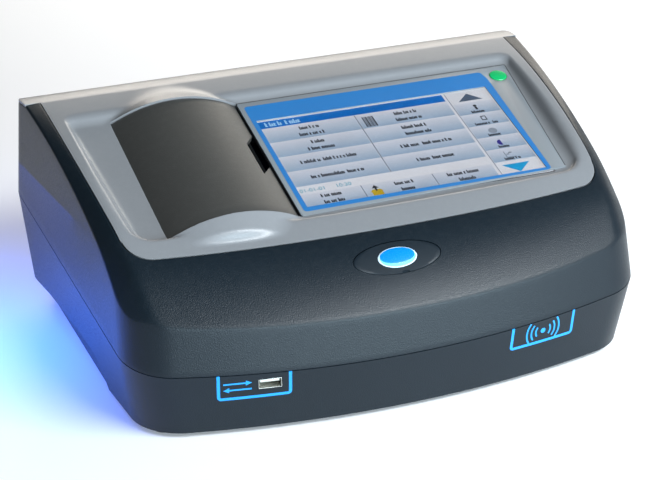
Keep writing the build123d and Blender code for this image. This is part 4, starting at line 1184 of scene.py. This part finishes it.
def noise(tree, place, scale, detail):
    """A noise value."""
    return node(tree, "TexNoise", [("Vector", place), ("Scale", scale), ("Detail", detail)]).outputs[0]


def new_effect(groups, key, name, label, value, *outputs):
    """A shared effect's tree, its one input, the object coordinates, and the ends to link to."""
    tree, start, end = group(name, [(label, value)], outputs)
    groups[key] = tree
    return tree, start.outputs[0], node(tree, "TexCoord").outputs["Object"], end.inputs


def make_groups():
    """The effects that many finishes share."""
    groups = {}
    reliefs = ("Height", "Fleck")
    tree, scale, place, ends = new_effect(groups, "grain", "Moulded grain", "Scale", 1500.0, *reliefs)
    fine = noise(tree, place, scale, 2.0)
    cells = node(tree, "TexVoronoi", [("Vector", place), ("Scale", scale)]).outputs["Distance"]
    both = node(tree, "Math", [(0, fine), (1, cells)], operation="ADD").outputs[0]
    tree.links.new(both, ends["Height"])
    tree.links.new(remap(tree, fine, 0.35, 0.65), ends["Fleck"])

    tree, scale, place, ends = new_effect(groups, "tone", "Slow tone", "Scale", 14.0, "Tone")
    tree.links.new(remap(tree, noise(tree, place, scale, 3.0), 0.3, 0.7), ends["Tone"])

    tree, amount, place, ends = new_effect(groups, "dust", "Settled dust", "Amount", 0.15, "Mask")
    up = node(tree, "SeparateXYZ", [(0, node(tree, "NewGeometry").outputs["Normal"])]).outputs[2]
    film = times(tree, remap(tree, up, 0.3, 1.0), remap(tree, noise(tree, place, 260.0, 6.0), 0.45, 0.72))
    tree.links.new(times(tree, film, amount), ends["Mask"])

    tree, amount, place, ends = new_effect(groups, "rub", "Edge rub", "Amount", 0.4, "Mask")
    point = node(tree, "NewGeometry").outputs["Pointiness"]
    edge = times(tree, remap(tree, point, 0.52, 0.62), remap(tree, noise(tree, place, 90.0, 4.0), 0.35, 0.65))
    tree.links.new(times(tree, edge, amount), ends["Mask"])

    tree, scale, place, ends = new_effect(groups, "brushed", "Brushed lines", "Scale", 900.0, *reliefs)
    drawn = node(tree, "Mapping", [("Vector", place), ("Scale", (0.04, 1.0, 1.0))]).outputs[0]
    lines = noise(tree, drawn, scale, 3.0)
    tree.links.new(lines, ends["Height"])
    tree.links.new(remap(tree, lines, 0.35, 0.65), ends["Fleck"])
    return groups


def blend_colour(tree, mask, below, above):
    """Mixes two colours by a mask."""
    return node(tree, "Mix", [(0, mask), (6, below), (7, above)], data_type="RGBA").outputs[2]


def effect(tree, groups, key, value):
    """One of the shared effects with its input set."""
    made = tree.nodes.new("ShaderNodeGroup")
    made.node_tree = groups[key]
    made.inputs[0].default_value = value
    return made.outputs


def shade(value, factor):
    """A colour made darker or lighter."""
    return tuple(min(1.0, c * factor) for c in value[:3]) + (1.0,)


TONE_SCALE, FLECK_GAIN, RUB_GAIN, DUST_COLOUR = 16.0, 1.9, 1.7, srgb(176, 176, 172)


def finish(name, groups, base, rough, depth=0.0, grain=1500.0, spread=0.05, tone=0.12, dust=0.0, rub=0.0,
           metal=0.0, coat=0.0, specular=0.5, glow=0.0, texture="grain", flecks=0.1):
    """A material: two tones of one colour, grain, dust and rubbed edges over a plain shader."""
    material = bpy.data.materials.new(name)
    material.use_nodes = True
    tree = material.node_tree
    shader = tree.nodes["Principled BSDF"]
    base = tuple(base)
    slow = effect(tree, groups, "tone", TONE_SCALE)[0]
    surface = blend_colour(tree, slow, shade(base, 1 - tone), shade(base, 1 + tone))
    fine = effect(tree, groups, texture, grain)
    if flecks:
        surface = blend_colour(tree, times(tree, fine["Fleck"], flecks), surface, shade(base, FLECK_GAIN))
    if rub:
        surface = blend_colour(tree, effect(tree, groups, "rub", rub)[0], surface, shade(base, RUB_GAIN))
    if dust:
        surface = blend_colour(tree, effect(tree, groups, "dust", dust)[0], surface, DUST_COLOUR)
    tree.links.new(surface, shader.inputs["Base Color"])
    sheen = remap(tree, fine["Fleck"], 0, 1, rough - spread, rough + spread)
    tree.links.new(sheen, shader.inputs["Roughness"])
    shader.inputs["Metallic"].default_value = metal
    shader.inputs["Coat Weight"].default_value = coat
    shader.inputs["Specular IOR Level"].default_value = specular
    if glow:
        tree.links.new(surface, shader.inputs["Emission Color"])
        shader.inputs["Emission Strength"].default_value = glow
    if depth:
        bump = node(tree, "Bump", [("Height", fine["Height"]), ("Strength", 1.0), ("Distance", depth)])
        tree.links.new(bump.outputs[0], shader.inputs["Normal"])
    return material


SCREEN_DIM, SCREEN_GLOW, PICTURE_SCALE = 0.22, 0.78, 40.0


def lit(name, groups, base, tone=0.03):
    """A colour of the screen's picture, which gives its own light."""
    material = finish(name, groups, shade(base, SCREEN_DIM), 0.4, tone=tone, flecks=0.0)
    tree = material.node_tree
    shader = tree.nodes["Principled BSDF"]
    slow = effect(tree, groups, "tone", PICTURE_SCALE)[0]
    surface = blend_colour(tree, slow, shade(base, 1 - tone), shade(base, 1 + tone))
    tree.links.new(surface, shader.inputs["Emission Color"])
    shader.inputs["Emission Strength"].default_value = SCREEN_GLOW
    return material


def button_finish(name, groups, colours):
    """Buttons on the screen: lighter at the top than at the foot."""
    material = lit(name, groups, srgb(200, 208, 222))
    tree = material.node_tree
    shader = tree.nodes["Principled BSDF"]
    place = node(tree, "SeparateXYZ", [(0, node(tree, "UVMap", uv_map=FACE_UV).outputs[0])]).outputs[1]
    height = remap(tree, place, 0.1, 0.95)
    fall = blend_colour(tree, height, tuple(colours.button_dark), tuple(colours.button_light))
    tree.links.new(fall, shader.inputs["Emission Color"])
    return material


def glass_finish(name, groups):
    """Clear glass with a faint film."""
    material = finish(name, groups, srgb(240, 244, 246), 0.03, spread=0.02, flecks=0.0, tone=0.02, grain=60.0)
    shader = material.node_tree.nodes["Principled BSDF"]
    shader.inputs["Transmission Weight"].default_value = 1.0
    shader.inputs["IOR"].default_value = 1.5
    return material


# Colours of the screen's picture: finish, name, colour and how uneven it is
PICTURE = (
    ("panel_white", "Screen white", (232, 230, 236), 0.03),
    ("title_blue", "Title blue", (0, 112, 202), 0.08),
    ("divider", "Screen divider", (120, 130, 148), 0.03),
    ("screen_ink", "Screen ink", (34, 38, 52), 0.03),
    ("screen_white", "Screen heading", (170, 215, 250), 0.03),
    ("arrow_grey", "Arrow grey", (84, 100, 124), 0.35),
    ("arrow_cyan", "Arrow cyan", (20, 165, 224), 0.3),
    ("clock_cyan", "Clock cyan", (96, 180, 205), 0.03),
    ("icon_yellow", "Icon yellow", (206, 172, 30), 0.2),
    ("icon_grey", "Icon grey", (150, 158, 172), 0.03),
    ("icon_violet", "Icon violet", (52, 44, 150), 0.03),
)


def make_finishes(colours):
    """Every finish by name."""
    groups = make_groups()
    made = {key: lit(name, groups, srgb(*value), tone) for key, name, value, tone in PICTURE}
    made["button"] = button_finish("Screen button", groups, colours)
    made["glass"] = glass_finish("Screen glass", groups)
    made["optical"] = glass_finish("Optical glass", groups)

    def add(key, name, base, rough, **options):
        made[key] = finish(name, groups, base, rough, **options)

    add("shell", "Dark slate plastic", colours.shell, 0.36, depth=0.00006, grain=1500.0, spread=0.07,
        tone=0.03, dust=0.008, rub=0.12, flecks=0.12, specular=0.28)
    add("bezel", "Light grey plastic", colours.bezel, 0.34, depth=0.00002, grain=1800.0, spread=0.04,
        tone=0.015, dust=0.03, flecks=0.03)
    add("lid", "Lid plastic", colours.lid, 0.52, depth=0.00003, grain=1700.0, tone=0.015, dust=0.015, rub=0.1,
        flecks=0.06, specular=0.6)
    add("badge_dark", "Badge plate plastic", shade(tuple(colours.shell), 1.1), 0.42, depth=0.00003,
        grain=1900.0, tone=0.03, flecks=0.06, specular=0.3)
    add("badge_blue", "Badge blue", srgb(0, 118, 216), 0.25, coat=0.4, tone=0.04, flecks=0.03)
    add("badge_white", "Badge white", srgb(205, 226, 240), 0.3, tone=0.03, flecks=0.0)
    add("badge_pale", "Badge pale", srgb(110, 196, 238), 0.3, tone=0.03, flecks=0.0)
    add("foil", "Grey foil", colours.overlay, 0.36, depth=0.000008, grain=2200.0, spread=0.04, tone=0.02,
        flecks=0.03)
    # Painted shadow: dark colour of the line along the foil's rear and right edges
    add("foil_shadow_ink", "Foil edge", srgb(52, 54, 56), 0.5, tone=0.05, flecks=0.03)
    add("frame_blue", "Frame blue ink", colours.frame_blue, 0.35, tone=0.04, flecks=0.02)
    add("sign_blue", "Sign blue ink", colours.sign_blue, 0.35, tone=0.04, flecks=0.03)
    add("green_light", "Green light", srgb(14, 150, 84), 0.2, tone=0.25, flecks=0.05, coat=0.5, glow=0.28)
    add("steel", "Bright steel", srgb(196, 196, 190), 0.28, depth=0.00001, grain=1400.0, spread=0.06,
        tone=0.06, metal=1.0, texture="brushed")
    add("aluminium", "Cast aluminium", srgb(170, 173, 176), 0.45, depth=0.00003, grain=1000.0, spread=0.08,
        tone=0.08, metal=1.0)
    add("motor", "Motor steel", srgb(140, 142, 146), 0.38, depth=0.00002, grain=900.0, spread=0.08, tone=0.1,
        metal=1.0, texture="brushed")
    add("mirror", "Front mirror", srgb(225, 228, 232), 0.06, spread=0.03, metal=1.0, tone=0.03, flecks=0.0)
    add("black", "Black plastic", srgb(26, 27, 29), 0.5, depth=0.00004, grain=1300.0, spread=0.07, tone=0.1,
        dust=0.04)
    add("white", "White plastic", srgb(214, 212, 204), 0.45, tone=0.04, flecks=0.03)
    add("board", "Circuit board", srgb(20, 92, 60), 0.4, depth=0.00004, grain=300.0, spread=0.08, tone=0.2,
        flecks=0.3)
    add("rubber", "Foot rubber", srgb(22, 22, 23), 0.75, depth=0.00006, grain=900.0, spread=0.08, tone=0.1)
    return made


# Fittings

INNER = {
    "steel": ["display_bracket", "entrance_slit", "exit_slit", "optics_screws"],
    "aluminium": ["optical_base", "lens_mount", "heat_sink", "lamp_holder", "grating_turret"],
    "black": ["barcode_reader", "filter_wheel", "sample_detector", "reference_detector"],
    "motor": ["turntable_motor", "filter_motor", "grating_motor"],
    "board": ["main_board", "reader_board"],
    "optical": ["condenser_lens", "filters", "halogen_lamp", "beam_splitter"],
    "mirror": ["collimating_mirror", "focusing_mirror", "grating"],
}

# Pieces that can be seen: name, node, finish, round edge in metres
OUTER = [
    ("lower_shell", "lower_housing", "shell", 0.0),
    ("rubber_feet", "feet", "rubber", 0.0006),
    ("case_screws", "housing_screws", "steel", 0.0002),
    ("host_port_shell", "front_usb_shell", "steel", 0.0001),
    ("host_port_tongue", "front_usb_tongue", "white", 0.00015),
    ("host_port_sign", "usb_outline", "sign_blue", 0.0),
    ("reader_sign", "reader_outline", "sign_blue", 0.0),
    ("sample_well_tub", "sample_tub", "black", 0.0003),
    ("cell_block", "cell_holder", "black", 0.0004),
    ("vial_table", "vial_turntable", "black", 0.0002),
    ("front_rail", "lid_track_front", "black", 0.0002),
    ("rear_rail", "lid_track_rear", "black", 0.0002),
    ("port_panel", "rear_panel", "black", 0.0002),
    ("network_port", "ethernet_socket", "steel", 0.0002),
    ("rear_port_shell", "rear_usb_shell", "steel", 0.0001),
    ("rear_port_tongue", "rear_usb_tongue", "white", 0.00015),
    ("device_port_shell", "usb_b_shell", "steel", 0.00015),
    ("device_port_tongue", "usb_b_tongue", "white", 0.00015),
    ("power_inlet", "dc_inlet", "black", 0.0002),
    ("switch_frame", "switch_body", "black", 0.0003),
    ("switch_rocker", "power_rocker", "black", 0.0004),
    ("lamp_cover", "lamp_door", "black", 0.0005),
    ("cover_screws", "door_screws", "steel", 0.0002),
    ("fan_housing", "fan_frame", "black", 0.0003),
    ("fan_blades", "fan_rotor", "black", 0.0002),
]


def node_body(name):
    """The body that a node rides on."""
    return frame["nodes"][name]["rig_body"]


# The lower front wall's lean, and the two arrows printed on it
WALL_LEAN, WALL_FOOT_Z = 6.9, 3.4
ARROWS_X, ARROW_REACH, ARROW_NECK = -103.9, 8.0, 3.4
ARROW_LEVELS = ((35.2, 1), (31.0, -1))


def front_wall(x, z, lift):
    """A point on the lower front wall."""
    y = -CASE_DEPTH / 2 + FRONT_BOW * (x / (CASE_WIDTH / 2)) ** 2
    lean = WALL_LEAN * (PARTING_FRONT_Z - z) / (PARTING_FRONT_Z - WALL_FOOT_Z)
    return Vector((x, y + lean - lift, z))


def build_sign(mats):
    """Two opposed arrows beside the host socket: data goes out and in."""
    rings = []
    for level, turn in ARROW_LEVELS:
        tip, tail = ARROWS_X + ARROW_REACH * turn, ARROWS_X - ARROW_REACH * turn
        neck = tip - ARROW_NECK * turn
        shape = [(tail, -0.5), (neck, -0.5), (neck, -1.7), (tip, 0), (neck, 1.7), (neck, 0.5), (tail, 0.5)]
        rings.append([[front_wall(x, level + z * turn, lift) for x, z in shape] for lift in (-0.2, 0.1)])
    finish_piece(clean(prisms("host_port_arrows", rings)), mats["sign_blue"], "case")


def build_fittings(mats):
    """Ports, feet, rails, rear panel and the pieces inside."""
    build_sign(mats)
    for name, source, material, edge in OUTER:
        obj = refined(name, source, edge)
        finish_piece(obj, mats[material], node_body(source), [source])
    for material, names in INNER.items():
        for name in names:
            piece = frame["nodes"][name]
            piece.data.materials.clear()
            piece.data.materials.append(mats[material])


# Stage

CAMERA_PLACE = (-0.3967, -1.0638, 0.5430)
CAMERA_AZIMUTH, CAMERA_ELEVATION, CAMERA_ROLL, CAMERA_LENS = -20.34, 23.05, -1.58, 107.2

# Lights: name, place, aim, the setting with its power, size and tint
LIGHTS = (
    ("key_light", (0.58, -1.12, 1.12), (0.04, -0.08, 0.08), "key", (1.1, 0.34), (0.9, 0.96, 1.0)),
    ("front_light", (0.6, -2.2, 0.45), (0.0, -0.1, 0.08), "front", (2.4, 0.8), (0.68, 0.89, 1.0)),
    ("rear_light", (0.75, 1.35, 0.62), (0.0, 0.05, 0.1), "rear", (1.5, 0.55), (1.0, 0.93, 0.84)),
    ("cool_light", (-0.29, 0.06, 0.09), (-0.28, 0.06, 0.0), "glow", (0.12, 0.3), (0.0, 0.14, 1.0)),
)


def build_floor(settings):
    """A wide pale floor."""
    activate_none()
    bpy.ops.mesh.primitive_grid_add(x_subdivisions=8, y_subdivisions=8, size=12)
    floor = bpy.context.object
    floor.name = floor.data.name = "stage_floor"
    material = bpy.data.materials.new("Pale floor")
    material.use_nodes = True
    shader = material.node_tree.nodes["Principled BSDF"]
    shader.inputs["Base Color"].default_value = tuple(settings.floor)
    shader.inputs["Roughness"].default_value = 0.6
    shader.inputs["Emission Color"].default_value = (1, 1, 1, 1)
    shader.inputs["Emission Strength"].default_value = settings.lift
    floor.data.materials.append(material)


def build_sky(settings):
    """An even light that is weaker from overhead, from behind and from the left."""
    world = bpy.context.scene.world or bpy.data.worlds.new("Studio")
    bpy.context.scene.world = world
    world.use_nodes = True
    tree = world.node_tree
    sky = tree.nodes["Background"]
    x, y, z = node(tree, "SeparateXYZ", [(0, node(tree, "TexCoord").outputs["Generated"])]).outputs
    fall = times(tree, remap(tree, z, 0.05, 0.75, 1.0, 0.12), remap(tree, y, 0.0, 0.7, 1.0, 0.3))
    fall = times(tree, fall, remap(tree, x, -0.6, 0.2, 0.35, 1.0))
    tree.links.new(times(tree, fall, settings.sky), sky.inputs["Strength"])
    sky.inputs["Color"].default_value = (0.93, 0.97, 1, 1)


def build_lights(settings):
    """Four soft lights."""
    for name, place, aim, setting, size, tint in LIGHTS:
        data = bpy.data.lights.new(name, "AREA")
        data.energy = getattr(settings, setting)
        data.shape = "RECTANGLE"
        data.size, data.size_y = size
        data.color = tint
        lamp = bpy.data.objects.new(name, data)
        lamp.location = place
        lamp.rotation_euler = (Vector(aim) - Vector(place)).to_track_quat("-Z", "Y").to_euler()
        bpy.context.scene.collection.objects.link(lamp)


def build_camera():
    """The camera at the photograph's angle."""
    azimuth, elevation, roll = (math.radians(a) for a in (CAMERA_AZIMUTH, CAMERA_ELEVATION, CAMERA_ROLL))
    back = Vector((math.sin(azimuth) * math.cos(elevation), -math.cos(azimuth) * math.cos(elevation),
                   math.sin(elevation)))
    right = Vector((math.cos(azimuth), math.sin(azimuth), 0))
    up = back.cross(right)
    right, up = (math.cos(roll) * right + math.sin(roll) * up, -math.sin(roll) * right + math.cos(roll) * up)
    data = bpy.data.cameras.new("Camera")
    data.sensor_width = 36.0
    data.lens = CAMERA_LENS
    data.dof.use_dof = False
    camera = bpy.data.objects.new("Camera", data)
    camera.matrix_world = Matrix.Translation(CAMERA_PLACE) @ Matrix((right, up, back)).transposed().to_4x4()
    bpy.context.scene.collection.objects.link(camera)
    bpy.context.scene.camera = camera


def build_stage(settings):
    """Pale floor, soft light and the camera."""
    bpy.context.scene.view_settings.view_transform = "Standard"
    build_floor(settings)
    build_sky(settings)
    build_lights(settings)
    build_camera()


# Operators and panel

FINISHES = {}


def finishes():
    """The finishes, made once."""
    if not FINISHES:
        FINISHES.update(make_finishes(bpy.context.scene.spectro_colours))
    return FINISHES


class SPECTRO_OT_upper(bpy.types.Operator):
    """Builds the upper shell."""

    bl_idname = "spectro.upper"
    bl_label = "Upper shell"

    def execute(self, context):
        build_upper_housing(context.scene.spectro_sizes, finishes()["shell"])
        return {"FINISHED"}


class SPECTRO_OT_bezel(bpy.types.Operator):
    """Builds the light top cover with its arches and rear strip."""

    bl_idname = "spectro.bezel"
    bl_label = "Top cover"

    def execute(self, context):
        build_bezel(context.scene.spectro_sizes, finishes()["bezel"])
        return {"FINISHED"}


class SPECTRO_OT_lid(bpy.types.Operator):
    """Builds the lid over the cell compartment."""

    bl_idname = "spectro.lid"
    bl_label = "Lid"

    def execute(self, context):
        build_lid(context.scene.spectro_sizes, finishes()["lid"])
        return {"FINISHED"}


class SPECTRO_OT_badge(bpy.types.Operator):
    """Builds the oval cover plate and the plain oval in it."""

    bl_idname = "spectro.badge"
    bl_label = "Badge"

    def execute(self, context):
        build_badge(finishes())
        return {"FINISHED"}


class SPECTRO_OT_screen(bpy.types.Operator):
    """Builds the screen with its foil, glass and picture."""

    bl_idname = "spectro.screen"
    bl_label = "Screen"

    def execute(self, context):
        build_screen(finishes(), context.scene.spectro_sizes)
        return {"FINISHED"}


class SPECTRO_OT_fittings(bpy.types.Operator):
    """Finishes the ports, feet, rails, rear panel and inner pieces."""

    bl_idname = "spectro.fittings"
    bl_label = "Fittings"

    def execute(self, context):
        build_fittings(finishes())
        return {"FINISHED"}


class SPECTRO_OT_stage(bpy.types.Operator):
    """Adds the floor, the lights and the camera."""

    bl_idname = "spectro.stage"
    bl_label = "Stage"

    def execute(self, context):
        build_stage(context.scene.spectro_stage)
        return {"FINISHED"}


class SPECTRO_PT_panel(bpy.types.Panel):
    """Lists the steps in the sidebar."""

    bl_idname = "SPECTRO_PT_panel"
    bl_label = "Spectrophotometer"
    bl_space_type = "VIEW_3D"
    bl_region_type = "UI"
    bl_category = "Spectrophotometer"

    def draw(self, context):
        for operator in OPERATORS:
            self.layout.operator(operator.bl_idname)


GROUPS = (SpectroColours, SpectroSizes, SpectroStage)
OPERATORS = (SPECTRO_OT_upper, SPECTRO_OT_bezel, SPECTRO_OT_lid, SPECTRO_OT_badge, SPECTRO_OT_screen,
             SPECTRO_OT_fittings, SPECTRO_OT_stage)


def register():
    """Registers the settings, the steps and the panel."""
    for item in (*GROUPS, *OPERATORS, SPECTRO_PT_panel):
        bpy.utils.register_class(item)
    bpy.types.Scene.spectro_colours = bpy.props.PointerProperty(type=SpectroColours)
    bpy.types.Scene.spectro_sizes = bpy.props.PointerProperty(type=SpectroSizes)
    bpy.types.Scene.spectro_stage = bpy.props.PointerProperty(type=SpectroStage)


def unregister():
    """Takes everything that register adds away again."""
    del bpy.types.Scene.spectro_colours, bpy.types.Scene.spectro_sizes, bpy.types.Scene.spectro_stage
    for item in reversed((*GROUPS, *OPERATORS, SPECTRO_PT_panel)):
        bpy.utils.unregister_class(item)


def main():
    """Builds the pieces in order."""
    register()
    bpy.ops.spectro.upper()
    bpy.ops.spectro.bezel()
    bpy.ops.spectro.lid()
    bpy.ops.spectro.badge()
    bpy.ops.spectro.screen()
    bpy.ops.spectro.fittings()
    bpy.ops.spectro.stage()


if __name__ == "__main__":
    main()
